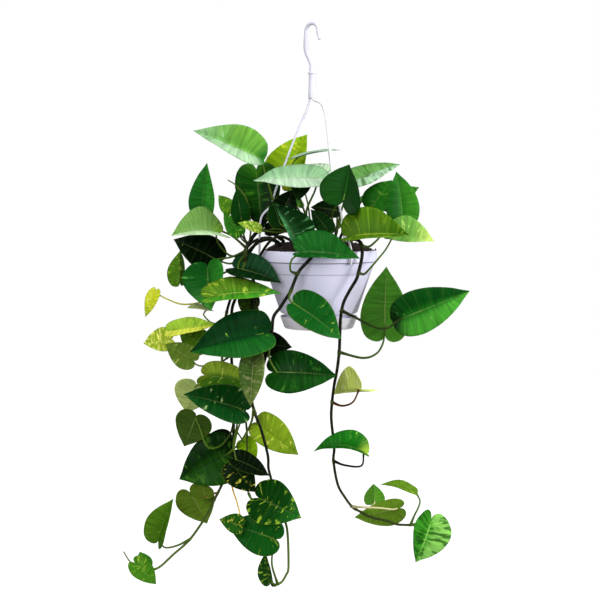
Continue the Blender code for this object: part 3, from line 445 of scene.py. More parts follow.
# %% [markdown]
# ### One leaf
#
# A pothos leaf is a heart with a drawn-out tip. Its two halves fold up from the midrib, the midrib arches,
# and the margin ripples a little. The outline is one short list that all leaves share: where each side
# vein leaves the midrib, and where it meets the margin, along and across. A few leaves have no lobes and
# get a rounder list. A leaf of the plan is then a joint, a tip, the way its upper side looks, and shares.

# %% The outline of a pothos leaf, and a leaf's own directions
LEAF_EDGE = (
    (0.00, 0.00, 0.00), (0.05, -0.075, 0.055), (0.10, -0.11, 0.18), (0.15, -0.06, 0.34), (0.22, 0.08, 0.46),
    (0.33, 0.29, 0.50), (0.50, 0.53, 0.42), (0.72, 0.76, 0.25), (0.87, 0.91, 0.09), (1.00, 1.00, 0.00),
)
ROUND_EDGE = (
    (0.00, 0.00, 0.00), (0.05, -0.01, 0.12), (0.10, 0.01, 0.24), (0.15, 0.05, 0.35), (0.22, 0.13, 0.44),
    (0.33, 0.30, 0.49), *LEAF_EDGE[6:],
)
PUFF, RIPPLE = 0.05, 0.012  # how far the halves swell and the margin ripples, as shares of the length


def leaf(base, tip, face, stalk, wide=0.72, fold=8.0, arch=0.04, lobe=1.0):
    """One leaf of the plan: joint and tip, the way its upper side looks, its stalk's points, its width as
    a share of its length, the fold of its halves in degrees, the rise of its midrib, and how long its
    lobes are, with -1 for a leaf without them."""
    return {"base": base, "tip": tip, "face": face, "stalk": stalk, "wide": wide, "fold": fold,
            "arch": arch, "lobe": lobe}


def leaf_edge(row, outline):
    """A half outline at a row number that need not be whole."""
    index = min(int(row), len(outline) - 2)
    four = [Vector(outline[min(max(index + step, 0), len(outline) - 1)]) for step in (-1, 0, 1, 2)]
    return between(*four, row - index)


def leaf_axes(plan):
    """A leaf's joint, length, and directions along it, across it and out of its upper side."""
    base = seen(*plan["base"])
    chord = seen(*plan["tip"]) - base
    along = chord.normalized()
    right, up, toward = plan["face"]
    face = Vector((right, -toward, up))
    out = (face - face.dot(along) * along).normalized()
    return base, chord.length, along, out.cross(along), out


def blade_point(plan, row, side, axes):
    """The place on a leaf's middle surface: row 0 to 9 from joint to tip, side -1 to 1 across."""
    base, length, along, across, out = axes
    lobed = plan["lobe"] > 0
    rib, margin_along, margin_across = leaf_edge(row, LEAF_EDGE if lobed else ROUND_EDGE)
    if lobed and margin_along < 0:
        margin_along *= plan["lobe"]
    reach = abs(side)
    far = rib + (margin_along - rib) * reach
    fold = radians(plan["fold"])
    width = margin_across * reach * plan["wide"] * length
    # The fold, the arch along the midrib, the swelling of each half, and the ripple of the margin
    height = width * sin(fold)
    height += length * plan["arch"] * 4 * far * (1 - far)
    height += length * PUFF * 4 * reach * (1 - reach) * margin_across
    ripple = min(3 * margin_across, 1.0) * reach**2
    height += length * RIPPLE * ripple * sin(row * 1.9 + 2.4 * side + 40 * plan["wide"])
    return base + along * far * length + across * (1 if side > 0 else -1) * width * cos(fold) + out * height


print("rows of an outline:", len(LEAF_EDGE), len(ROUND_EDGE))

# %% [markdown]
# ## The plan of the plant
#
# Fifteen stems stand in the mix: eight vines that hang down and seven short shoots that carry the crown.
# Each has grown its own way, so no rule could place its leaves, and the plan simply lists them. For each
# stem it gives where it stands, its route, its leaves with their stalks, and its bare stalks.

# %% The stems and their leaves: (across, up, toward) in millimetres


def stem_plan(root, route, leaves, radius=(2.4, 1.6), stubs=()):
    """One stem: where it stands in the soil, its route as seen, its leaves, its radius in mm at the foot
    and at the end, and its bare stalks."""
    return {"root": root, "route": route, "leaves": leaves, "radius": radius, "stubs": stubs}


PLANTS = {
    "vine_right": stem_plan(
        (50, 36),
        [(60, -300, 52), (69, -306, 62), (70, -323, 68), (66, -343, 69), (62, -356, 68), (53, -371, 67),
         (44, -389, 66), (40, -410, 66), (39, -434, 66), (38, -458, 66), (35, -483, 66), (31, -504, 66),
         (28, -528, 66), (27, -552, 66), (31, -591, 66), (30, -610, 66), (36, -643, 66), (46, -661, 66),
         (56, -674, 67), (69, -682, 68), (83, -689, 68), (105, -694, 68), (119, -699, 68), (141, -700, 68)],
        [
            leaf((127, -276, 8), (118, -205, 10), (0.25, 0.2, 0.93),
                 [(69, -310, 63), (80, -310, 52), (90, -302, 38), (100, -292, 22), (116, -284, 12)],
                 wide=0.72, fold=12),
            leaf((110, -294, 32), (171, -303, 46), (0.15, 0.72, 0.64),
                 [(65, -346, 68), (72, -349, 66), (80, -342, 60), (92, -328, 52), (104, -313, 42)],
                 wide=1.0, fold=26),
            leaf((113, -416, 62), (221, -372, 46), (0.1, 0.15, 0.98),
                 [(43, -400, 66), (60, -409, 68), (88, -423, 68), (106, -424, 66)], wide=0.55, fold=12,
                 lobe=-1),
            leaf((102, -435, 40), (104, -338, 24), (-0.1, 0.2, -0.97),
                 [(38, -458, 66), (71, -466, 62), (90, -460, 56), (99, -446, 46)],
                 wide=0.71, fold=6, lobe=0.8),
            leaf((68, -511, 78), (30, -517, 14), (0.62, 0.75, -0.3),
                 [(28, -528, 66), (42, -533, 68), (57, -528, 76)], wide=0.86, fold=37),
            leaf((77, -600, 86), (2, -597, 84), (0.0, 0.85, 0.5),
                 [(30, -610, 66), (45, -616, 76), (69, -617, 86)],
                 wide=0.68, fold=34, arch=0.17, lobe=0.4),
            leaf((123, -676, 54), (59, -689, 46), (0.0, -0.5, -0.87),
                 [(56, -674, 67), (70, -675, 76), (94, -676, 72), (112, -678, 64)], wide=0.66, fold=30),
            leaf((88, -671, 26), (86, -642, 20), (0.0, 0.2, -0.97),
                 [(56, -674, 67), (61, -679, 54), (74, -680, 34)], wide=1.05, fold=10, lobe=0.2),
            leaf((147, -655, 64), (96, -643, 72), (0.1, 0.9, 0.4),
                 [(138, -699, 68), (143, -687, 67), (149, -675, 66), (151, -665, 65)],
                 wide=0.44, fold=10, arch=0.1, lobe=0.3),
            leaf((167, -691, 68), (145, -752, 80), (0.5, 0.25, 0.83),
                 [(141, -700, 68), (154, -697, 68)], wide=1.06, fold=22, lobe=1.5),
        ]),
    "vine_front": stem_plan(
        (16, 58),
        [(10, -298, 74), (5, -308, 84), (0, -324, 90), (-17, -343, 90), (-24, -357, 90), (-30, -373, 90),
         (-36, -382, 89), (-45, -396, 88), (-54, -409, 88), (-57, -434, 90), (-66, -468, 88),
         (-76, -500, 85),
         (-84, -522, 84), (-80, -543, 84), (-71, -567, 83), (-62, -602, 76), (-61, -620, 60),
         (-57, -636, 48), (-50, -660, 44), (-38, -693, 46), (-34, -715, 50), (-33, -759, 56),
         (-36, -769, 57), (-43, -780, 58), (-54, -785, 59)],
        [
            leaf((-18, -318, 94), (67, -327, 92), (0.05, 0.78, 0.62),
                 [(-20, -348, 90), (-30, -344, 98), (-28, -328, 98)], wide=0.8, fold=28),
            leaf((-24, -391, 97), (41, -440, 94), (0.35, 0.5, 0.8), [(-29, -372, 90), (-32, -384, 96)],
                 wide=0.78, fold=18),
            leaf((-55, -486, 96), (35, -491, 102), (0.0, 0.5, 0.87), [(-58, -440, 90), (-60, -466, 96)],
                 wide=0.72, fold=6),
            leaf((-78, -556, 58), (-19, -602, 56), (0.2, 0.35, 0.9), [(-80, -543, 84), (-78, -551, 72)],
                 wide=0.63, fold=8, lobe=0.5),
            leaf((-112, -597, 46), (-186, -636, 54), (0.15, 0.35, 0.9),
                 [(-82, -538, 84), (-85, -556, 80), (-94, -574, 64), (-104, -588, 52)], wide=0.9, fold=6),
            leaf((-50, -720, 66), (-119, -697, 58), (0.0, 0.35, 0.93),
                 [(-48, -783, 59), (-56, -756, 66), (-55, -734, 68)], wide=0.8, fold=6),
            leaf((-59, -781, 60), (-65, -738, 60), (-0.6, 0.1, 0.8), [(-54, -785, 59)], wide=0.66, fold=28),
        ]),
    "vine_left": stem_plan(
        (-44, 34),
        [(-60, -298, 38), (-76, -304, 34), (-87, -318, 24), (-94, -336, 10), (-101, -356, 0),
         (-106, -379, 8), (-112, -398, 22), (-113, -430, 32), (-113, -458, 24), (-112, -480, 18),
         (-112, -500, 22), (-111, -520, 32), (-110, -540, 36), (-110, -556, 34), (-110, -585, 32),
         (-111, -612, 32), (-119, -624, 36), (-126, -643, 40), (-137, -665, 42), (-148, -687, 42),
         (-171, -720, 44), (-194, -741, 46), (-214, -759, 46), (-228, -763, 46)],
        [
            leaf((-166, -470, 24), (-205, -446, 30), (0.2, -0.4, -0.9),
                 [(-113, -462, 23), (-132, -474, 24), (-158, -477, 24)],
                 wide=0.82, fold=14),
            leaf((-162, -547, 56), (-179, -590, 50), (0.1, 0.1, -1.0),
                 [(-110, -560, 33), (-116, -575, 50), (-130, -590, 60), (-147, -590, 64), (-158, -562, 62)],
                 wide=1.1, fold=6),
            leaf((-116, -582, 25), (-152, -580, 24), (0.0, 0.3, 0.95), [(-110, -590, 32)],
                 wide=0.9, fold=10),
            leaf((-97, -582, 38), (-78, -609, 42), (0.3, 0.2, 0.93), [(-110, -566, 33)], wide=0.9),
            leaf((-110, -607, 80), (-60, -631, 70), (0.2, 0.6, 0.75),
                 [(-111, -534, 38), (-101, -553, 52), (-105, -570, 62), (-109, -592, 74)],
                 wide=0.6, fold=18),
            leaf((-112, -614, 60), (-79, -654, 64), (-0.3, 0.3, 0.9),
                 [(-110, -540, 38), (-105, -558, 48), (-110, -585, 55)], wide=0.85, fold=14),
            leaf((-99, -701, 84), (-130, -692, 88), (0.0, 0.45, 0.9),
                 [(-113, -614, 33), (-112, -645, 54), (-105, -668, 70), (-100, -690, 80)],
                 wide=0.9, fold=14),
            leaf((-215, -722, 46), (-194, -663, 52), (-0.55, 0.2, 0.8),
                 [(-171, -720, 44), (-190, -729, 48), (-207, -731, 48)], wide=0.78, fold=34),
            leaf((-171, -654, 24), (-147, -698, 22), (0.1, 0.1, -0.99),
                 [(-137, -665, 42), (-153, -662, 34)], wide=1.14, lobe=1.6),
            leaf((-150, -662, 52), (-154, -641, 56), (0.0, 0.2, -0.98), [(-132, -655, 42)], wide=1.2),
            leaf((-248, -753, 54), (-218, -783, 58), (0.3, 0.5, 0.8),
                 [(-228, -763, 46), (-241, -760, 52)], wide=0.76, lobe=1.4),
            leaf((-234, -760, 40), (-241, -737, 34), (0.0, 0.2, -0.95), [(-222, -762, 46)], wide=1.1),
        ],
        stubs=[[(-228, -763, 46), (-240, -762, 50), (-254, -752, 50), (-264, -737, 50)]]),
    "vine_cluster": stem_plan(
        (-40, 10),
        [(-58, -290, 18), (-74, -288, 30), (-87, -303, 42), (-93, -318, 46), (-92, -336, 42),
         (-84, -352, 42), (-81, -364, 40), (-81, -379, 44), (-78, -393, 60), (-74, -406, 70),
         (-68, -424, 72), (-78, -444, 80), (-88, -456, 88)],
        [
            leaf((-146, -337, 17), (-141, -400, 36), (-0.42, 0.5, 0.75),
                 [(-93, -316, 46), (-114, -325, 35), (-136, -329, 19)], wide=1.1, fold=25),
            leaf((-108, -340, 40), (-43, -361, 66), (0.1, 0.7, 0.7), [(-93, -322, 45), (-102, -332, 42)],
                 wide=0.76, fold=24),
            leaf((-144, -381, 78), (-43, -376, 68), (0.05, 0.9, 0.42),
                 [(-92, -332, 43), (-110, -366, 50), (-138, -380, 68)], wide=0.66, fold=16),
            leaf((-61, -431, 102), (-171, -458, 110), (0.0, 0.68, 0.73), [(-70, -420, 72), (-67, -429, 88)],
                 wide=0.74, fold=13, lobe=0.6),
            leaf((-81, -462, 96), (-86, -534, 98), (-0.2, 0.1, 0.95), [(-88, -456, 88)],
                 wide=0.55, fold=20),
        ], radius=(2.8, 1.8)),
    "vine_upper_left": stem_plan(
        (-50, -14),
        [(-64, -298, -18), (-80, -302, -20), (-92, -312, -20), (-99, -326, -20), (-106, -342, -20)],
        [
            leaf((-101, -292, 16), (-124, -264, 12), (-0.2, 0.3, 0.93), [(-88, -308, -20), (-98, -300, 4)],
                 wide=0.7),
            leaf((-99, -274, 22), (-106, -229, 26), (0.2, 0.2, 0.95), [(-90, -310, -20), (-96, -292, 4)],
                 wide=0.62),
            leaf((-113, -260, 6), (-131, -238, 8), (-0.2, 0.3, 0.93), [(-88, -308, -20), (-106, -284, -6)],
                 wide=0.8),
            leaf((-153, -268, -14), (-147, -193, 2), (-0.35, 0.1, 0.93),
                 [(-92, -312, -20), (-114, -294, -18), (-146, -280, -12)], wide=0.54, fold=14),
            leaf((-131, -291, 14), (-197, -295, 52), (0.1, 0.75, 0.66),
                 [(-98, -324, -20), (-116, -322, -12), (-131, -306, 4)], wide=0.98, fold=28, arch=0.1,
                 lobe=1.5),
            leaf((-131, -330, -4), (-194, -300, 4), (-0.2, 0.5, 0.85),
                 [(-100, -330, -20), (-116, -334, -12)], wide=0.8),
            leaf((-185, -361, 3), (-184, -315, -9), (-0.6, 0.1, 0.75),
                 [(-105, -340, -20), (-136, -352, -14), (-168, -362, -2)], wide=0.8, fold=20),
        ],
        stubs=[[(-88, -308, -20), (-86, -284, 2), (-91, -246, 12), (-106, -225, 14), (-118, -217, 14)]]),
    "vine_rear_left": stem_plan(
        (-46, -36),
        [(-62, -300, -42), (-80, -308, -42), (-96, -328, -40), (-106, -360, -28), (-118, -396, -12),
         (-124, -430, 0), (-126, -470, 10), (-125, -500, 18)],
        [
            leaf((-219, -372, 22), (-233, -409, 30), (-0.2, 0.4, 0.9),
                 [(-110, -374, -23), (-146, -386, 2), (-179, -391, 16), (-202, -384, 21)],
                 wide=0.5),
            leaf((-144, -398, 20), (-175, -396, 42), (0.0, 0.94, 0.35),
                 [(-120, -402, -10), (-124, -416, 0), (-140, -417, 12), (-152, -405, 20)], wide=0.75),
            leaf((-199, -428, 34), (-133, -420, 48), (0.0, 0.7, 0.72),
                 [(-121, -412, -6), (-150, -424, -4), (-186, -433, 14), (-202, -434, 28)],
                 wide=0.47, fold=16),
            leaf((-197, -440, 2), (-236, -446, 10), (-0.2, 0.5, 0.85),
                 [(-124, -430, 0), (-160, -442, -8), (-188, -446, -6)], wide=1.0),
            leaf((-150, -450, 4), (-186, -430, -4), (0.2, 0.3, 0.93), [(-125, -446, 4)], wide=0.95),
            leaf((-162, -503, 34), (-175, -543, 42), (-0.5, -0.1, -0.85),
                 [(-126, -484, 14), (-148, -496, 24)], wide=1.35),
            leaf((-150, -490, 38), (-74, -505, 62), (0.1, 0.55, 0.83), [(-126, -490, 16), (-141, -494, 28)],
                 wide=0.59),
        ]),
    "vine_inner": stem_plan(
        (-22, 52),
        [(-44, -296, 56), (-60, -304, 54), (-75, -328, 30), (-82, -352, 10), (-84, -376, 12),
         (-84, -412, 24), (-88, -448, 34), (-92, -480, 38), (-93, -510, 38), (-94, -540, 44),
         (-92, -560, 50), (-91, -581, 52), (-92, -640, 54), (-88, -658, 58)],
        [
            leaf((-86, -378, 4), (-94, -408, 0), (0.0, 0.2, 0.97), [(-83, -364, 11)], wide=1.0),
            leaf((-76, -448, 30), (-28, -451, 40), (0.0, 0.6, 0.8), [(-86, -438, 33)], wide=0.9),
            leaf((-95, -539, 78), (-180, -517, 92), (0.0, 0.6, 0.8), [(-93, -546, 46), (-90, -546, 66)],
                 wide=0.66, fold=12),
            leaf((-75, -662, 68), (-15, -690, 100), (-0.15, 0.45, 0.88),
                 [(-88, -658, 58), (-84, -664, 62)], wide=0.94, fold=10, lobe=1.5),
        ], radius=(2.0, 1.3)),
    "vine_back": stem_plan(
        (6, -50),
        [(4, -296, -66), (0, -302, -80), (-2, -318, -90), (-6, -350, -92), (0, -380, -92), (8, -400, -92)],
        [
            leaf((-26, -322, -98), (-44, -384, -110), (-0.2, 0.2, -0.95), [(-2, -318, -90)]),
            leaf((38, -338, -98), (56, -400, -106), (0.2, 0.2, -0.95), [(-4, -340, -91)]),
            leaf((12, -300, -100), (24, -346, -136), (0.1, 0.5, -0.85), [(2, -299, -74)]),
            leaf((2, -364, -120), (-8, -414, -134), (-0.1, 0.3, -0.95), [(-5, -346, -92)]),
        ]),
    "shoot_left": stem_plan(
        (-28, 14),
        [(-32, -290, 12), (-36, -284, 10)],
        [
            leaf((-67, -189, 14), (-166, -148, 28), (0.1, 0.55, 0.83),
                 [(-36, -284, 10), (-52, -252, 10), (-64, -212, 12)], wide=0.62, fold=29, lobe=-1),
            leaf((-78, -202, -20), (-70, -288, -8), (0.0, 0.25, 0.97),
                 [(-34, -287, 11), (-50, -240, -14), (-68, -206, -24)], wide=0.74),
            leaf((-73, -286, 46), (-104, -277, 50), (0.0, 0.6, 0.8), [(-33, -289, 12), (-54, -290, 34)],
                 wide=0.55),
            leaf((-46, -268, 20), (-26, -230, 18), (0.3, 0.3, 0.9), [(-36, -284, 10), (-44, -276, 16)],
                 wide=0.9),
            leaf((-62, -287, -10), (-18, -281, -6), (0.1, 0.6, 0.75), [(-33, -288, 12), (-46, -286, -3)],
                 wide=0.62),
        ]),
    "shoot_middle": stem_plan(
        (0, -8),
        [(-1, -290, -8), (-2, -282, -9)],
        [
            leaf((-42, -222, -46), (-7, -153, -54), (-0.44, 0.25, 0.86),
                 [(-2, -282, -9), (-24, -250, -30)], wide=0.87, fold=24),
            leaf((15, -215, 44), (-82, -218, 56), (0.05, 0.87, 0.5),
                 [(-1, -286, -8), (-8, -262, 12), (4, -232, 36)], wide=0.72, fold=5),
            leaf((-24, -186, -4), (41, -175, 0), (0.0, 0.99, 0.1),
                 [(-2, -284, -9), (-18, -240, -6), (-28, -200, -4)], wide=0.62, fold=6),
            leaf((-14, -218, 24), (-20, -246, 36), (0.0, 0.5, 0.85), [(-1, -286, -8), (-6, -250, 8)],
                 wide=0.9),
        ]),
    "shoot_right": stem_plan(
        (32, 12),
        [(34, -290, 12), (36, -282, 11)],
        [
            leaf((43, -248, 98), (52, -195, 54), (0.5, 0.5, 0.7),
                 [(34, -290, 12), (28, -270, 32), (32, -256, 72)], wide=1.02, fold=-22),
            leaf((52, -221, -12), (123, -195, -28), (0.0, 0.88, 0.43), [(36, -282, 11), (44, -250, -4)],
                 wide=0.72, fold=5),
            leaf((84, -255, 2), (112, -217, -4), (-0.3, 0.3, 0.9), [(36, -284, 11), (62, -266, 4)],
                 wide=0.9),
            leaf((27, -214, 18), (-12, -197, 12), (0.2, 0.6, 0.75), [(36, -283, 11), (34, -246, 14)],
                 wide=0.8),
            leaf((36, -260, 16), (-2, -255, 20), (0.0, 0.5, 0.85), [(34, -286, 12), (40, -272, 14)],
                 wide=0.75),
        ]),
    "shoot_front": stem_plan(
        (-14, 34),
        [(-16, -294, 38), (-18, -290, 42)],
        [
            leaf((-20, -306, 60), (-52, -250, 46), (0.62, 0.34, 0.7), [(-18, -290, 42), (-17, -297, 52)],
                 wide=0.98, fold=34),
            leaf((24, -290, 38), (-2, -258, 34), (0.2, 0.4, 0.9), [(-16, -294, 38), (6, -292, 38)],
                 wide=0.7),
            leaf((-44, -280, 42), (-57, -246, 37), (0.2, 0.4, 0.9), [(-17, -292, 40), (-34, -286, 42)],
                 wide=0.9),
        ]),
    "shoot_right_front": stem_plan(
        (30, 44),
        [(31, -298, 50), (33, -299, 56)],
        [
            leaf((50, -297, 72), (136, -294, 80), (0.0, 0.75, 0.66), [(33, -299, 56), (38, -301, 64)],
                 wide=0.95, fold=35),
        ]),
    "shoot_rear_right": stem_plan(
        (40, -30),
        [(42, -292, -32), (46, -284, -34)],
        [
            leaf((102, -252, -16), (150, -227, -22), (0.0, 0.5, 0.85), [(46, -284, -34), (76, -268, -26)],
                 wide=0.6),
            leaf((60, -256, -50), (86, -232, -96), (0.2, 0.7, -0.6), [(46, -284, -34), (54, -268, -40)]),
            leaf((66, -284, -58), (108, -268, -96), (0.4, 0.6, -0.6), [(44, -288, -33), (56, -284, -48)]),
        ]),
    "shoot_rear_left": stem_plan(
        (-20, -36),
        [(-22, -292, -38), (-26, -284, -40)],
        [
            leaf((-56, -252, -50), (-92, -218, -82), (-0.3, 0.7, -0.6),
                 [(-26, -284, -40), (-42, -266, -46)]),
            leaf((-24, -248, -60), (-44, -214, -106), (-0.1, 0.7, -0.6),
                 [(-25, -286, -39), (-25, -266, -50)]),
            leaf((0, -276, -64), (-6, -290, -122), (0.0, 0.8, -0.5), [(-22, -290, -38), (-10, -280, -52)]),
        ]),
}
print("stems:", len(PLANTS), "leaves:", sum(len(plan["leaves"]) for plan in PLANTS.values()))

# %% [markdown]
# ### The colours of the leaves
#
# No two leaves of a variegated plant are alike. New ones are yellow green and old ones dark. The greens
# are painted as the leaves looked under the lights: the pale minty ones are painted sheen, the near-black
# ones inside the crown painted shade, and a half that faces up, down, left or right is painted lighter or
# darker as the light falls on it. So each leaf of the plan gets a look, in the same order: its green, what
# differs from it and where, and the colour and amount of its patches.

# %% The look of each leaf


def look(main, up=None, down=None, left=None, right=None, joint=None, tip=None, streak="#a9c832",
         amount=0.0, under=None, rib=None, stalk=None):
    """The colours of one leaf: its green, the painted light and shade of a half that faces up, down, left
    or right, its joint and tip, partly their own colour and partly painted shade and sheen, the variegated
    streaks and their amount, the underside, the midrib, and the leaf's stalk."""
    return {"main": main, "halves": {"up": up, "down": down, "left": left, "right": right}, "joint": joint,
            "tip": tip, "streak": streak, "amount": amount, "under": under or main, "rib": rib,
            "stalk": stalk or "#587a22"}


# Greens as the leaves looked: pale minty ones are painted sheen, near-black ones painted shade
LOOKS = {
    "vine_right": [
        look("#24701a", left="#185a14", right="#357c1e", tip="#226c18", streak="#6fa03a", amount=0.1),
        look("#62983c", tip="#b0c864", joint="#4a8a3a", streak="#a8c860", amount=0.15),
        look("#1c6a18", up="#0c4c12", down="#3c8a28", joint="#0a300c", streak="#5f9a3e", amount=0.12,
             stalk="#2c4012"),
        look("#357212", tip="#4c7c16", joint="#6a9a20", stalk="#40601a"),
        look("#c0d264", streak="#d2dc8c", amount=0.25, stalk="#6a3a20"),
        look("#0f6210", right="#1a7016", joint="#90ac34", streak="#7ab03a", amount=0.15, stalk="#182408"),
        look("#62881a", stalk="#c4bf8c"),
        look("#4d8a1e", stalk="#b8b480"),
        look("#587f18", streak="#88a42c", amount=0.2),
        look("#4a9a2a", right="#78b450", left="#32841c", streak="#145a10", amount=0.35, rib="#9ccc6a"),
    ],
    "vine_front": [
        look("#145c1c", up="#1a641e", streak="#3f8f42", amount=0.2, tip="#226f24"),
        look("#125c1a", streak="#a8c84a", amount=0.09, tip="#206c24"),
        look("#0a420e", down="#125010", streak="#34781f", amount=0.2),
        look("#7c9c1f", streak="#c0c850", amount=0.22, tip="#6f901f", rib="#4f7414"),
        look("#1f5510", up="#123a0c", joint="#071c06", streak="#3f721a", amount=0.25, rib="#0c2408"),
        look("#125c16", streak="#a4b43a", amount=0.16),
        look("#1c5418", streak="#a0bc40", amount=0.25),
    ],
    "vine_left": [
        look("#557c1a", under="#607f24", tip="#6a9424", streak="#a8b45c", amount=0.2),
        look("#38560c", joint="#5a8a16"),
        look("#06180a"),
        look("#7fae10", streak="#a8c83a", amount=0.2),
        look("#0a200a"),
        look("#0c300c", streak="#c0c23a", amount=0.22),
        look("#1f5a14", streak="#c8c83a", amount=0.22, stalk="#d0b040"),
        look("#46760f", up="#4f7e18", streak="#7fa034", amount=0.1),
        look("#5a7a14", tip="#4f7a1a"),
        look("#56700f", stalk="#8a5a2a"),
        look("#407c16", streak="#88ac34", amount=0.22),
        look("#3c8a1c"),
    ],
    "vine_cluster": [
        look("#14641c", right="#2a8024", tip="#3f9030", streak="#5aa84a", amount=0.12),
        look("#0a3410", up="#1c4a2a", streak="#2f6a2a", amount=0.1),
        look("#467f14", left="#54801a", right="#3f8c1c", tip="#2f8a22", streak="#a0b838", amount=0.24,
             rib="#a8c060"),
        look("#0c4a1a", up="#0b3f18", down="#1a6420", streak="#8fc83a", amount=0.06, rib="#06200a"),
        look("#4a6c2a", right="#607e34", streak="#8c9660", amount=0.26, tip="#6f8440", stalk="#6a7a3a",
             rib="#a8b078"),
    ],
    "vine_upper_left": [
        look("#2f7a1c", streak="#8fb83a", amount=0.2),
        look("#0f4a12"),
        look("#4f8a1c", streak="#a0b83a", amount=0.25),
        look("#237422", right="#2f8426", streak="#5a9a42", amount=0.1),
        look("#729c52", up="#689446", down="#a6c494", streak="#9cc08c", amount=0.1, joint="#7fb038"),
        look("#082208"),
        look("#4a7a18", right="#2a4f12", streak="#8fae30", amount=0.2),
    ],
    "vine_rear_left": [
        look("#b0ba24", streak="#dcdc78", amount=0.22, tip="#8aa020", stalk="#b8b428"),
        look("#8a9a60", streak="#a8b07a", amount=0.2),
        look("#90b434", left="#c0c844", streak="#6f9a28", amount=0.22),
        look("#8fa82a", streak="#d4d66a", amount=0.34),
        look("#4f7a14", streak="#8aa83a", amount=0.2),
        look("#93a45c", tip="#8aa02a", rib="#6a7a3a"),
        look("#3c6c14", right="#84a22e", streak="#a4b648", amount=0.2, joint="#6c8420"),
    ],
    "vine_inner": [
        look("#3a5a14", streak="#8a9a4a", amount=0.2),
        look("#0a200a"),
        look("#0a4210", down="#10501a", streak="#a4c27a", amount=0.12),
        look("#0f4a0f", streak="#9abf32", amount=0.22, tip="#1c6a1c"),
    ],
    "vine_back": [look("#2f7a1c"), look("#3a8424"), look("#2a6a18", streak="#9ab83a", amount=0.3),
                  look("#3f8a2a")],
    "shoot_left": [
        look("#629c3e", up="#629a38", down="#94b48e", tip="#7aa672", joint="#2a7a24", streak="#9cc08e",
             amount=0.05),
        look("#185410", right="#0c340c", joint="#3a7f1c", tip="#06180a", streak="#3f7a1a", amount=0.2),
        look("#6a9a2a", streak="#c8d05a", amount=0.35),
        look("#0a240a"),
        look("#0c1c0a"),
    ],
    "shoot_middle": [
        look("#7fa812", streak="#b8c832", amount=0.2, rib="#c8a83a", joint="#a8b020"),
        look("#8cb088", down="#a2bc9e", up="#7ca67a", streak="#64996a", amount=0.12),
        look("#8fac96", up="#9ab6a2", tip="#7a988a"),
        look("#123a10"),
    ],
    "shoot_right": [
        look("#0a380a", up="#124a0e", streak="#285c18", amount=0.1, rib="#28641c"),
        look("#659a52", up="#5f9448", down="#94b894", streak="#3f7628", amount=0.3),
        look("#1f6a14", streak="#6a9a2a", amount=0.2),
        look("#a0b498", streak="#7a9a7a", amount=0.3),
        look("#0a240a"),
    ],
    "shoot_front": [
        look("#1a5424", right="#103f14", left="#3f7f4c", streak="#5a9a60", amount=0.2, tip="#0c3414"),
        look("#0f3a10"),
        look("#12400f"),
    ],
    "shoot_right_front": [look("#406c0e", up="#4a7410", down="#4e7812", tip="#2c5f0c", streak="#6c8f1c",
                               amount=0.24, rib="#9cb43c")],
    "shoot_rear_right": [look("#2f7a1c"), look("#3a8424"), look("#2f7a2a", streak="#9ab83a", amount=0.3)],
    "shoot_rear_left": [look("#3a8424"), look("#2f7a1c", streak="#9ab83a", amount=0.25), look("#2a6a18")],
}
print("looks:", sum(len(looks) for looks in LOOKS.values()))

# %% [markdown]
# ## Tools for the shapes
#
# Every piece starts as a bmesh and ends as an object at the origin with its finishes, and the plain solid
# that it stands for is hidden. Moulded edges are never sharp: a bevel of a few tenths of a millimetre
# catches the light as a real edge does. What was made on a lathe or in a round mould is spun from its
# profile.

# %% Turning bmeshes into objects
SHARP, BEVEL_STEPS = radians(30.0), 3


def place_piece(bm, name, finishes, smooth=True):
    """Turns a bmesh into an object with its materials."""
    mesh = bpy.data.meshes.new(name)
    bm.to_mesh(mesh)
    bm.free()
    for finish in finishes:
        mesh.materials.append(finish)
    if smooth:
        mesh.shade_smooth()
    else:
        mesh.shade_flat()
    piece = bpy.data.objects.new(name, mesh)
    bpy.context.scene.collection.objects.link(piece)
    return piece


def hand_over(piece, node):
    """Attaches the piece to the root body, hides the plain solid that it stands for, and prints its faces.
    """
    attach(piece, "root")
    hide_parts(node)
    print(piece.name, "faces:", len(piece.data.polygons))


def round_off(bm, width_mm):
    """Rounds every sharp edge."""
    sharp = [edge for edge in bm.edges if len(edge.link_faces) == 2 and edge.calc_face_angle(0.0) > SHARP]
    bmesh.ops.bevel(bm, geom=sharp, offset=width_mm * MM, segments=BEVEL_STEPS, profile=0.5,
                    affect="EDGES", offset_type="OFFSET", clamp_overlap=True, material=-1)


def turned(bm, profile, centre_x, base_z, sides):
    """Spins a closed profile of (radius, height) in mm round an upright axis."""
    corners = [bm.verts.new(plain(centre_x + radius, 0.0, base_z + height)) for radius, height in profile]
    edges = [bm.edges.new(pair) for pair in zip(corners, corners[1:] + corners[:1])]
    bmesh.ops.spin(bm, geom=corners + edges, cent=plain(centre_x, 0.0, 0.0), axis=(0, 0, 1),
                   angle=2 * pi, steps=sides, use_merge=True)
    bmesh.ops.remove_doubles(bm, verts=bm.verts, dist=1e-6)
    bmesh.ops.dissolve_degenerate(bm, edges=bm.edges, dist=1e-7)
    bmesh.ops.recalc_face_normals(bm, faces=bm.faces)


print("edges are rounded with", BEVEL_STEPS, "faces")

# %% [markdown]
# ### Rods
#
# Stems, stalks and strands are round rods that bend and taper. A curve with a bevel would make one, but it
# could carry no tone of its own at each point. So a grid is rolled round the path: one of its directions
# goes round, the other along, and its first and last rows are drawn together to close the ends.

# %% A grid rolled round a path


def directions(path):
    """For each point of a path: the direction across it and the one square to both, with no twist."""
    neighbours = zip([path[0], *path[:-1]], [*path[1:], path[-1]])
    runs = [(after - before).normalized() for before, after in neighbours]
    first = runs[0].orthogonal().normalized()
    found = []
    for run in runs:
        first = (first - first.dot(run) * run).normalized()
        found.append((first, run.cross(first)))
    return found


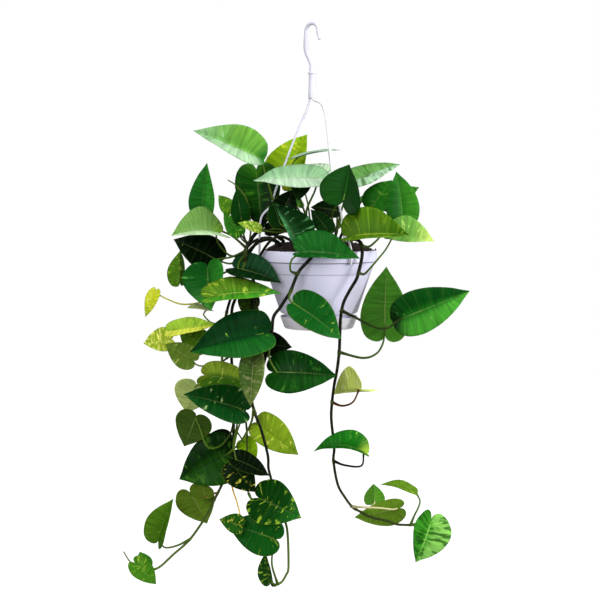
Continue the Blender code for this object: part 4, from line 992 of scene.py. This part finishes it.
def rolled(bm, path, radii, sides, marks=None):
    """A closed round rod along a path, with a radius in mm for each point. A function may mark each vertex,
    which it is given with its share of the way along the path."""
    way = [path[0], *path, path[-1]]
    sizes = [0.0, *radii, 0.0]
    turns = directions(path)
    turns = [turns[0], *turns, turns[-1]]
    grid = bmesh.ops.create_grid(bm, x_segments=sides, y_segments=len(way) - 1, size=1.0)["verts"]
    for vert in grid:
        step = round((vert.co.y + 1) / 2 * (len(way) - 1))
        angle = pi * vert.co.x
        first, second = turns[step]
        vert.co = way[step] + (first * cos(angle) + second * sin(angle)) * sizes[step] * MM
        if marks:
            marks(vert, max(step - 1, 0) / len(path))
    faces = dict.fromkeys(face for vert in grid for face in vert.link_faces)
    bmesh.ops.remove_doubles(bm, verts=grid, dist=2e-6)
    shell = [face for face in faces if face.is_valid]
    bmesh.ops.recalc_face_normals(bm, faces=shell)


print("tools ready:", turned.__name__, rolled.__name__)

# %% [markdown]
# ## The pot
#
# The pot is a tapered cup with a thicker band round its rim, a faint step below it, and a foot ring that
# stands down into the saucer. It leaves its mould with every edge rounded by a few tenths of a millimetre,
# so the profile is spun and its sharp rings are bevelled. Five drain holes are then cut through the floor.

# %% The pot's cup
# The rim band's height and how far it stands out, the wall, and the step below the band, in mm
RIM_BAND, RIM_LIP, WALL = 15.0, 2.5, 2.2
STEP_TOP, STEP_FOOT, STEP_IN = 16, 16.6, 0.6
POT_HEIGHT, POT_BASE, NECK, NECK_HEIGHT = 88.0, 54.6, 48.0, 17.5
SPIN_STEPS, MOULD_EDGE = 96, 0.35
body = RIM_RADIUS - RIM_LIP
slope = (body - POT_BASE) / (POT_HEIGHT - RIM_BAND)
foot = -POT_HEIGHT - NECK_HEIGHT
pot_profile = [
    (RIM_RADIUS - 1.2, 0.0), (RIM_RADIUS, -1.4), (RIM_RADIUS - 0.4, -RIM_BAND), (body, -RIM_BAND),
    (body - slope * STEP_TOP, -RIM_BAND - STEP_TOP),
    (body - slope * STEP_TOP - STEP_IN, -RIM_BAND - STEP_FOOT),
    (POT_BASE, -POT_HEIGHT + 2), (POT_BASE - 2, -POT_HEIGHT), (NECK, -POT_HEIGHT), (NECK, foot),
    (NECK - WALL, foot), (NECK - WALL, -POT_HEIGHT), (0.0, -POT_HEIGHT), (0.0, -POT_HEIGHT + WALL),
    (POT_BASE - WALL, -POT_HEIGHT + WALL), (body - WALL, -RIM_BAND), (RIM_RADIUS - WALL - 0.6, -3.0),
    (RIM_RADIUS - WALL, 0.0),
]
bm = bmesh.new()
turned(bm, pot_profile, POT_X, RIM_Z, SPIN_STEPS)
round_off(bm, MOULD_EDGE)
pot = place_piece(bm, "fine_pot", [POT_PLASTIC])
print("cup:", 2 * RIM_RADIUS, "mm across,", POT_HEIGHT + NECK_HEIGHT, "mm high")

# %% [markdown]
# ### The drain holes
#
# Water has to leave by round holes in a ring. Five pins stand where they go, and one boolean takes them all
# out of the floor. Its result is kept as the pot's own mesh, so that no live modifier is left.

# %% Five drain holes
HOLES, HOLE_RADIUS, HOLE_RING, PIN_LENGTH, PIN_SIDES = 5, 4, 28, 12, 24
pins = bpy.data.collections.new("drain_pins")
for index in range(HOLES):
    angle = 2 * pi * index / HOLES
    bm = bmesh.new()
    bmesh.ops.create_cone(bm, cap_ends=True, segments=PIN_SIDES, radius1=HOLE_RADIUS * MM,
                          radius2=HOLE_RADIUS * MM, depth=PIN_LENGTH * MM)
    middle = plain(POT_X + HOLE_RING * cos(angle), HOLE_RING * sin(angle), RIM_Z - POT_HEIGHT)
    bmesh.ops.translate(bm, verts=bm.verts, vec=middle)
    pin = place_piece(bm, f"drain_pin_{index}", [])
    bpy.context.scene.collection.objects.unlink(pin)
    pins.objects.link(pin)
cut = pot.modifiers.new("drain", "BOOLEAN")
cut.operation, cut.operand_type, cut.collection, cut.solver = "DIFFERENCE", "COLLECTION", pins, "EXACT"
bpy.context.view_layer.update()
bored = bpy.data.meshes.new_from_object(pot.evaluated_get(bpy.context.evaluated_depsgraph_get()))
pot.modifiers.clear()
pot.data = bored
for pin in list(pins.objects):
    bpy.data.objects.remove(pin)
bpy.data.collections.remove(pins)
hand_over(pot, "pot")

# %% [markdown]
# ## The saucer
#
# The saucer is a shallow flared dish that clips to a ring inside the pot's foot, with a gap of a few
# millimetres all round that lets the water be poured out. It is spun like the pot.

# %% Saucer
SAUCER_DROP, SAUCER_HEIGHT, SAUCER_FLOOR = 4.5, 16.5, 2.4
CLEARANCE, CLIP_WALL, CLIP_HEIGHT = 0.3, 2.0, 6
top = -POT_HEIGHT - SAUCER_DROP
bottom = top - SAUCER_HEIGHT
floor_height = bottom + SAUCER_FLOOR
clip = NECK - WALL - CLEARANCE
saucer_profile = [
    (0.0, floor_height), (clip - CLIP_WALL, floor_height), (clip - CLIP_WALL, floor_height + CLIP_HEIGHT),
    (clip, floor_height + CLIP_HEIGHT), (clip, floor_height), (48.5, floor_height), (52.2, top - 1.0),
    (52.6, top), (54.0, top), (54.0, top - 1.2), (48.8, bottom + 1.5), (47.6, bottom), (0.0, bottom),
]
bm = bmesh.new()
turned(bm, saucer_profile, POT_X, RIM_Z, SPIN_STEPS)
round_off(bm, MOULD_EDGE)
saucer = place_piece(bm, "fine_saucer", [SAUCER_PLASTIC])
hand_over(saucer, "saucer")

# %% [markdown]
# ## The potting mix
#
# The mix fills the pot and is mounded a little above the rim where the stems stand. Its plug is spun, and
# its top is then moved up and down by noise: lumps of about a centimetre with smaller ones on them.

# %% The plug of potting mix
LUMP_MM, SMALL_LUMP_MM, LUMP_HEIGHT, SETTLED = 9, 3.5, 1.1, 0.9
side = body - WALL - 0.4
base = POT_BASE - WALL - 0.4
under = -POT_HEIGHT + WALL + CLEARANCE
crown = [(radius, soil_height(radius)) for radius in range(0, 76, 3)]
soil_bm = bmesh.new()
turned(soil_bm, crown + [(side + 0.8, SOIL_EDGE), (side, -RIM_BAND), (base, under), (0.0, under)],
       POT_X, RIM_Z, SPIN_STEPS)
for vert in soil_bm.verts:
    if vert.co.z > (RIM_Z + SOIL_EDGE - 1.0) * MM:
        lift = noise.noise(vert.co * 1000 / LUMP_MM) + 0.5 * noise.noise(vert.co * 1000 / SMALL_LUMP_MM)
        vert.co.z += (LUMP_HEIGHT * lift - SETTLED) * MM
print("plug vertices:", len(soil_bm.verts))

# %% [markdown]
# ### Crumbs
#
# A few hundred crumbs of one to three millimetres lie on the mix, and some have fallen on the rim, as
# happens whenever a hanging plant is watered. On the mix they follow the golden angle, which spreads points
# evenly with no visible rows. On the rim they lie in short groups. Each is a small ball that noise dents.

# %% Crumbs on the mix and on the rim
CRUMBS, GOLDEN_ANGLE, CRUMB_FIELD = 300, 2.39996, 74
RIM_CRUMBS = [(-62, 7), (-38, 6), (-12, 5), (18, 6), (55, 5), (80, 6), (118, 4), (160, 5)]  # degrees, count
crumb_places = []
for index in range(CRUMBS):
    radius = CRUMB_FIELD * ((index + 0.5) / CRUMBS) ** 0.5
    angle = index * GOLDEN_ANGLE
    crumb_places.append((radius * cos(angle), radius * sin(angle), soil_height(radius) - 0.6))
for middle, count in RIM_CRUMBS:
    for index in range(count):
        angle = radians(middle - 90 + 4.1 * index * (1 + 0.3 * sin(index * 5 + middle)))
        radius = RIM_RADIUS - 1.3
        crumb_places.append((radius * cos(angle), -radius * sin(angle), 0.3))
for index, (x, toward, height) in enumerate(crumb_places):
    spot = plain(POT_X + x, toward, RIM_Z + height)
    size = 0.5 + 0.9 * abs(noise.noise(spot * 1000 / 2.7)) + 0.35 * (index % 4 == 0)
    crumb = bmesh.ops.create_icosphere(soil_bm, subdivisions=1, radius=size * MM)["verts"]
    for vert in crumb:
        vert.co *= 1 + 0.7 * noise.noise(vert.co * 1900 + spot * 3000)
        vert.co += spot
soil = place_piece(soil_bm, "fine_potting_mix", [POTTING_MIX], smooth=False)
hand_over(soil, "soil")

# %% [markdown]
# ## The hanger
#
# The hanger is moulded in one shot: an open hook, a stem with a collar, a grip, and three thin rods that
# run down and snap under the rim band. Here the hook is one piece and each rod another.
#
# The hook's rod follows a smooth path that rises from the collar, swells a little half way up its arm,
# bends over in a half circle and ends in a short lip. The collar and the grip are turned.

# %% Hook with its collar and grip
BEND, ROD, COLLAR_Z, SOCKET_Z = 11.0, 2.5, -66.0, -100.0
HOOK_TURN = radians(40.0)
LIP_POINTS, LIP_SHARE = 5, 0.8
SWELL_Z, SWELL_REACH, SWELL_MM = -0.031, 0.016, 1.1  # the first two in metres
centre = ROD - BEND
line = [(-1.0, COLLAR_Z - 4), (-1.0, COLLAR_Z + 6), (-3.0, -50.0), (-9.5, -36.0), (-BEND, -24.0)]
line += [(BEND * cos(pi - pi * step / 8), centre + BEND * sin(pi - pi * step / 8)) for step in range(9)]
line += [(BEND + 0.6, centre - 6.0), (BEND + 2.4, centre - 12.0)]
hook_path = smooth_path([plain(along * cos(HOOK_TURN), along * sin(HOOK_TURN), height)
                         for along, height in line], 1.5)
hook_radii = []
for index, place in enumerate(hook_path):
    on_arm = index < len(hook_path) / 2
    swell = max(0.0, 1 - abs(place.z - SWELL_Z) / SWELL_REACH) if on_arm else 0.0
    plain_radius = ROD if index < len(hook_path) - LIP_POINTS else ROD * LIP_SHARE
    hook_radii.append(plain_radius + SWELL_MM * swell ** 0.5)
bm = bmesh.new()
rolled(bm, hook_path, hook_radii, 20)
grip_profile = [
    (0.0, COLLAR_Z + 14), (2.6, COLLAR_Z + 14), (3.4, COLLAR_Z + 12.5), (4.2, COLLAR_Z + 1.8),
    (5.4, COLLAR_Z + 1.2), (5.4, COLLAR_Z - 0.6), (4.3, COLLAR_Z - 1.0), (4.5, SOCKET_Z + 20),
    (4.9, SOCKET_Z + 8), (5.4, SOCKET_Z), (0.0, SOCKET_Z),
]
grip = bmesh.new()
turned(grip, grip_profile, 0.0, 0.0, 48)
round_off(grip, 0.3)
grip_mesh = bpy.data.meshes.new("grip")
grip.to_mesh(grip_mesh)
grip.free()
bm.from_mesh(grip_mesh)
bpy.data.meshes.remove(grip_mesh)
# The hook takes the plastic that is greyed with painted shade
hook = place_piece(bm, "fine_hook", [SHADED_HANGER_PLASTIC])
hand_over(hook, "hanger_hook")

# %% [markdown]
# ### The strands
#
# Each strand leaves the grip's mouth, runs down past the crown to the rim, and ends in a foot that hooks
# under the rim band. They would be straight, but the leaves push against them, so each has a list of
# bends, as distances from the pot's axis and heights above the rim. The left one is bent the most.

# %% Three strands, each with a foot under the rim band
STRAND, STRAND_SIDES = 1.5, 14
MOUTH_RADIUS, MOUTH_DROP, SOCKET_DEPTH = 2.9, 1.0, 9.7
# The last value is each strand's plastic: the left one is greyed with painted shade
STRAND_PLAN = {
    "left": (180.0, ((18, 192), (34, 155), (60, 85), (67, 62), (81, 44)), SHADED_HANGER_PLASTIC),
    "front": (-60.0, ((16, 192), (38, 101), (68, 30)), HANGER_PLASTIC),
    "back": (60.0, ((16, 192), (38, 101), (68, 30)), HANGER_PLASTIC),
}
beside_rim = RIM_RADIUS + CLEARANCE + STRAND + 0.4
below_band = -RIM_BAND - CLEARANCE - STRAND
for name, (angle, bends, plastic) in STRAND_PLAN.items():
    out = Vector((cos(radians(angle)), sin(radians(angle)), 0))
    way = [*bends, (beside_rim, 4), (beside_rim, below_band), (body + 0.9, below_band)]
    *spots, foot_end = [Vector((POT_X * MM, 0, (RIM_Z + height) * MM)) + out * radius * MM
                        for radius, height in way]
    mouth = out * MOUTH_RADIUS * MM + Vector((0, 0, (SOCKET_Z - MOUTH_DROP) * MM))
    socket = mouth + Vector((0, 0, SOCKET_DEPTH * MM))
    path = [socket, *smooth_path([mouth, *spots], 5.0), foot_end]
    bm = bmesh.new()
    rolled(bm, path, [STRAND] * len(path), STRAND_SIDES)
    strand = place_piece(bm, f"fine_strand_{name}", [plastic])
    hand_over(strand, f"hanger_strand_{name}")

# %% [markdown]
# ## Growing the blades
#
# A grid laid flat is moved onto the leaf's curved surface and then extruded to the thickness of a real
# leaf, about half a millimetre. Modelled by hand, eighty leaves would take days, and a picture on a card
# would have no thickness. Each vertex keeps what the finish needs to know there: its green with its
# painted light and shade, the colour and the share of the patches, the colour of the midrib, and where on
# the leaf it lies.

# %% The tone of a blade at each point
PIGMENT, PIGMENT_MIDDLE, PIGMENT_CONTRAST = 0.78, 0.16, 1.27
MIDRIB_GREEN, MIDRIB_SHARE = "#b4c878", 0.16
# The ways a half of a leaf can face, for its painted light and shade
WAYS = {"up": Vector((0, 0, 1)), "down": Vector((0, 0, -1)), "left": Vector((-1, 0, 0)),
        "right": Vector((1, 0, 0))}


def mixed(first, second, share):
    """A colour between two."""
    return tuple(a + (b - a) * share for a, b in zip(first, second))


def ramp(value, start, end):
    """A smooth step from 0 at start to 1 at end."""
    t = min(max((value - start) / (end - start), 0.0), 1.0)
    return t * t * (3 - 2 * t)


def pigment(hex_color):
    """A leaf's own colour: purer than it looks, because its wax adds a little white to what is seen."""
    red, green, blue, _ = paint(hex_color)
    middle = 0.25 * red + 0.65 * green + 0.1 * blue
    deeper = PIGMENT * (middle / PIGMENT_MIDDLE) ** (PIGMENT_CONTRAST - 1)
    return (*[min(deeper * share, 0.9) for share in (red, green, blue)], 1.0)


def blade_tone(colours, across, row, side):
    """The green at a point of a blade's upper side, with the painted light and shade of its half, joint and
    tip.
    """
    tone = pigment(colours["main"])
    # Painted light and shade: a half that faces up, down, left or right gets a lighter or darker green
    for way, half in colours["halves"].items():
        if half and across.dot(WAYS[way]) * side > 0:
            tone = mixed(tone, pigment(half), ramp(abs(side), 0.02, 0.35))
    # Joint and tip: partly the leaf's own colour, partly painted shade and sheen
    if colours["joint"]:
        tone = mixed(tone, pigment(colours["joint"]), 1 - ramp(row, 1.0, 4.2))
    if colours["tip"]:
        tone = mixed(tone, pigment(colours["tip"]), ramp(row, 5.6, 8.4))
    return tone


print("leaf green as a pigment:", [round(share, 3) for share in pigment("#2f7a1c")])

# %% [markdown]
# ### From a flat grid to a blade
#
# The flat grid is the underside. It takes its place and its marks first, because an extrusion copies the
# marks to the upper side, where only the green has to be set again. A little noise, none at the joint and
# at the tip, keeps two leaves from being alike.

# %% A blade
BLADE_MM, BLADE_ROWS, BLADE_SIDES, LAST_ROW = 0.5, 30, 16, 9
BUCKLE_MM, BUCKLE_WIDTH_MM = 0.7, 17
UPPER_FINISH, UNDER_FINISH = 0, 1


def add_blade(bm, layers, plan, colours, seed):
    """A leaf blade: a grid laid on the leaf's surface and extruded to its thickness."""
    axes = leaf_axes(plan)
    across, out = axes[3:]
    rib = mixed(pigment(colours["main"]), pigment(MIDRIB_GREEN), MIDRIB_SHARE)
    marks = {"tone": pigment(colours["under"]), "streak": pigment(colours["streak"]),
             "rib": pigment(colours["rib"]) if colours["rib"] else rib, "amount": colours["amount"]}
    grid = bmesh.ops.create_grid(bm, x_segments=BLADE_SIDES, y_segments=BLADE_ROWS, size=1.0)["verts"]
    for vert in grid:
        side, row = vert.co.x, LAST_ROW / 2 * (vert.co.y + 1)
        point = blade_point(plan, row, side, axes)
        uneven = noise.noise(point * 1000 / BUCKLE_WIDTH_MM + Vector((seed, 0, 0)))
        uneven *= min(row, LAST_ROW - row, 1.0)
        vert.co = point + out * (BUCKLE_MM * uneven - BLADE_MM / 2) * MM
        for key, value in marks.items():
            vert[layers[key]] = value
        vert[layers["leaf_place"]] = (side, row, seed)
    lower = list(dict.fromkeys(face for vert in grid for face in vert.link_faces))
    for face in lower:
        face.material_index = UNDER_FINISH
    bmesh.ops.remove_doubles(bm, verts=grid, dist=1e-6)
    lower = [face for face in lower if face.is_valid]
    raised = bmesh.ops.extrude_face_region(bm, geom=lower, use_keep_orig=True)["geom"]
    upper = [item for item in raised if isinstance(item, bmesh.types.BMVert)]
    bmesh.ops.translate(bm, verts=upper, vec=out * BLADE_MM * MM)
    # The upper side takes its green again, with its painted light and shade
    for vert in upper:
        side, row, _ = vert[layers["leaf_place"]]
        vert[layers["tone"]] = blade_tone(colours, across, row, side)
    shell = dict.fromkeys(face for vert in upper for face in vert.link_faces)
    for face in shell:
        face.material_index = UPPER_FINISH
    bmesh.ops.recalc_face_normals(bm, faces=[*shell, *lower])


print("a blade is a grid of", BLADE_SIDES, "by", BLADE_ROWS, "faces,", BLADE_MM, "mm thick")

# %% [markdown]
# ## Growing the stalks
#
# A stalk has a wider sheath where it clasps the stem and a slight knee under the blade, and runs on under
# the blade as its midrib, thinner and thinner up to the tip. So it is one rod with a changing radius. It is
# dark near an old stem and fresh green near the blade, and the midrib takes a paler tone of the leaf.

# %% Leaf stalks
STALK, STALK_SIDES = 1.35, 10
JOINT_ROW, RIB_END_ROW, RIB_STEPS, RIB_SINK = 1.3, 8.2, 8, 0.3
SHEATH, SHEATH_MM, KNEE = 0.35, 14, 0.18
STEM_OLD, STEM_YOUNG, NODE_TONE = paint("#0d1307"), paint("#587028"), paint("#566a24")


def under_blade(plan, axes, row):
    """A place just under the middle of a blade."""
    return blade_point(plan, row, 0.0, axes) - axes[4] * RIB_SINK * MM


def stalk_path(plan, axes, stem):
    """A leaf stalk's path from the stem to just past the leaf's joint."""
    base = axes[0]
    points = [seen(*point) for point in plan["stalk"]]
    points[0] = nearest_on(stem, points[0])
    if len(points) == 1:
        chord = base - points[0]
        points.append(points[0] + chord * 0.5 + Vector((0, 0, 0.12 * chord.length)))
    points.append(under_blade(plan, axes, JOINT_ROW))
    return smooth_path(points, 4.0)


def stalk_radii(path, thick):
    """The radius at each point of a stalk: its sheath, a slow taper, and its knee."""
    total = sum((after - before).length for before, after in zip(path, path[1:]))
    run, radii = 0.0, []
    for before, here in zip([path[0], *path], path):
        run += (here - before).length
        sheath = SHEATH * (1 - ramp(run, 0.0, min(SHEATH_MM * MM, total * 0.4)))
        knee = KNEE * ramp(run, total - 8 * MM, total - 2 * MM)
        radii.append(thick * (1.0 - 0.32 * run / total + sheath + knee))
    return radii


def add_stalk(bm, tone_layer, plan, colours, stem, age):
    """A leaf stalk that runs on as the midrib under the blade."""
    axes = leaf_axes(plan)
    path = stalk_path(plan, axes, stem)
    radii = stalk_radii(path, STALK * (0.85 + 0.4 * axes[1] / (80 * MM)))
    last = radii[-1]
    for step in range(1, RIB_STEPS + 1):
        path.append(under_blade(plan, axes, JOINT_ROW + (RIB_END_ROW - JOINT_ROW) * step / RIB_STEPS))
        radii.append(max(last * 0.72 * (1 - step / (RIB_STEPS + 0.6)), 0.18))
    young = pigment(colours["stalk"])
    dark = mixed(young, STEM_OLD, 0.8 * (1 - age))
    leaf_tone = mixed(pigment(colours["under"]), pigment("#a8bc6a"), 0.3)
    stalk_share = 1 - RIB_STEPS / len(path)

    def marks(vert, share):
        tone = mixed(dark, young, ramp(min(share / stalk_share, 1.0), 0.0, 0.7))
        vert[tone_layer] = mixed(tone, leaf_tone, ramp(share, stalk_share, stalk_share + 0.1))

    rolled(bm, path, radii, STALK_SIDES, marks)


print("stalk radius:", STALK, "mm")

# %% [markdown]
# ## Growing the stems
#
# A stem rises straight out of the mix, leans over the rim and hangs. It thickens a little at each node,
# where a leaf stalk leaves it and a stub of an aerial root sits on the other side. Old wood is nearly
# black, and the last part is fresher, except on the one vine that has stayed dark almost to its end.

# %% Stems, their nodes and their root stubs
STEM_SIDES, STUB_SIDES = 14, 8
NODE_SWELL, NODE_REACH_MM = 0.32, 5
FRESHNESS = {"vine_right": 0.25}


def one_tone(tone_layer, tone):
    """Marks every vertex of a rod with the same tone."""
    def marks(vert, share):
        vert[tone_layer] = tone
    return marks


def stem_path(plan, spacing):
    """A stem's path: straight up out of the soil, then smoothly through its planned points."""
    x, toward = plan["root"]
    ground = RIM_Z + soil_height(Vector((x - POT_X, toward, 0)).length)
    foot, rise = plain(x, toward, ground - ROOTED), plain(x, toward, ground + 3.0)
    return [foot] + smooth_path([rise] + [seen(*point) for point in plan["route"]], spacing)


def add_stem(bm, tone_layer, plan, fresh):
    """A stem, more or less fresh at its end; gives back its path."""
    path = stem_path(plan, 3.0)
    count = len(path)
    thick, thin = plan["radius"]
    joints = [nearest_on(path, seen(*each["stalk"][0])) for each in plan["leaves"]]
    near = [min((place - joint).length for joint in joints) for place in path]
    swell = [max(0.0, 1 - distance / (NODE_REACH_MM * MM)) for distance in near]
    radii = [(thick + (thin - thick) * index / (count - 1)) * (1 + NODE_SWELL * swell[index] ** 2)
             for index in range(count)]
    radii[-1] *= 0.6

    def marks(vert, share):
        index = min(int(share * count), count - 1)
        tone = mixed(STEM_OLD, STEM_YOUNG, fresh * ramp(share, 0.6, 1.0))
        vert[tone_layer] = mixed(tone, NODE_TONE, 0.35 * swell[index])

    rolled(bm, path, radii, STEM_SIDES, marks)
    for number, joint in enumerate(joints):
        away = Vector((sin(2.4 * number), cos(2.4 * number), -0.3)).normalized()
        nub = [joint, joint + away * (thin + 0.9) * MM, joint + away * (thin + 2.2) * MM]
        rolled(bm, nub, [1.0, 0.8, 0.35], STUB_SIDES, one_tone(tone_layer, NODE_TONE))
    return path


print("fresh ends of the stems:", [round(share, 3) for share in STEM_YOUNG[:3]])

# %% [markdown]
# ## All the plants
#
# A stem with its stalks has another skin than its leaves, so each plant becomes two pieces: its stems, and
# its leaves with an upper and a lower finish. Both stand for the same solid, because on the real plant they
# are one growth.

# %% Fifteen plants, each as its stems and its leaves
total_faces = 0
for order, (name, plan) in enumerate(PLANTS.items()):
    looks = LOOKS[name]
    bm = bmesh.new()
    tone_layer = bm.verts.layers.float_color.new("tone")
    stem = add_stem(bm, tone_layer, plan, FRESHNESS.get(name, 1.0))[:-1]
    for number, each in enumerate(plan["leaves"]):
        add_stalk(bm, tone_layer, each, looks[number], stem, number / len(plan["leaves"]))
    for route in plan["stubs"]:
        points = [seen(*point) for point in route]
        points[0] = nearest_on(stem, points[0])
        bare = smooth_path(points, 4.0)
        radii = [STALK * (1.1 - 0.5 * index / (len(bare) - 1)) for index in range(len(bare))]
        rolled(bm, bare, radii, STALK_SIDES, one_tone(tone_layer, STEM_YOUNG))
    stems = place_piece(bm, f"{name}_stems", [STEM_SKIN])
    bm = bmesh.new()
    layers = {key: bm.verts.layers.float_color.new(key) for key in ("tone", "streak", "rib")}
    layers["amount"] = bm.verts.layers.float.new("amount")
    layers["leaf_place"] = bm.verts.layers.float_vector.new("leaf_place")
    for number, each in enumerate(plan["leaves"]):
        add_blade(bm, layers, each, looks[number], 3.7 * order + 1.3 * number)
    leaves = place_piece(bm, f"{name}_leaves", [LEAF_TOP, LEAF_UNDER])
    for piece in (stems, leaves):
        hand_over(piece, name)
        total_faces += len(piece.data.polygons)
print("faces of all plants:", total_faces)

# %% [markdown]
# ## The floor
#
# A plain pale floor lies well below the vines. It glows to the camera, as a sheet of white acrylic with
# lamps behind it does, so that it looks as white as the background.

# %% The floor
FLOOR_Z, FLOOR_HALF, FLOOR_GLOW = -1.4, 6.0, 0.95
floor_finish, floor_shader = new_finish("backlit_white_acrylic_studio_floor", "#b4b4b6", 0.9, 1.45)
ray = add_node(floor_finish, "LightPath")
glow = add_node(floor_finish, "Math", {"operation": "MULTIPLY"}, n0=ray.outputs["Is Camera Ray"],
                n1=FLOOR_GLOW)
floor_shader.inputs["Emission Color"].default_value = paint("#ffffff")
floor_finish.node_tree.links.new(glow.outputs["Value"], floor_shader.inputs["Emission Strength"])
bm = bmesh.new()
bmesh.ops.create_grid(bm, x_segments=1, y_segments=1, size=FLOOR_HALF)
bmesh.ops.translate(bm, verts=bm.verts, vec=(0, 0, FLOOR_Z))
floor = place_piece(bm, "studio_floor", [floor_finish], smooth=False)
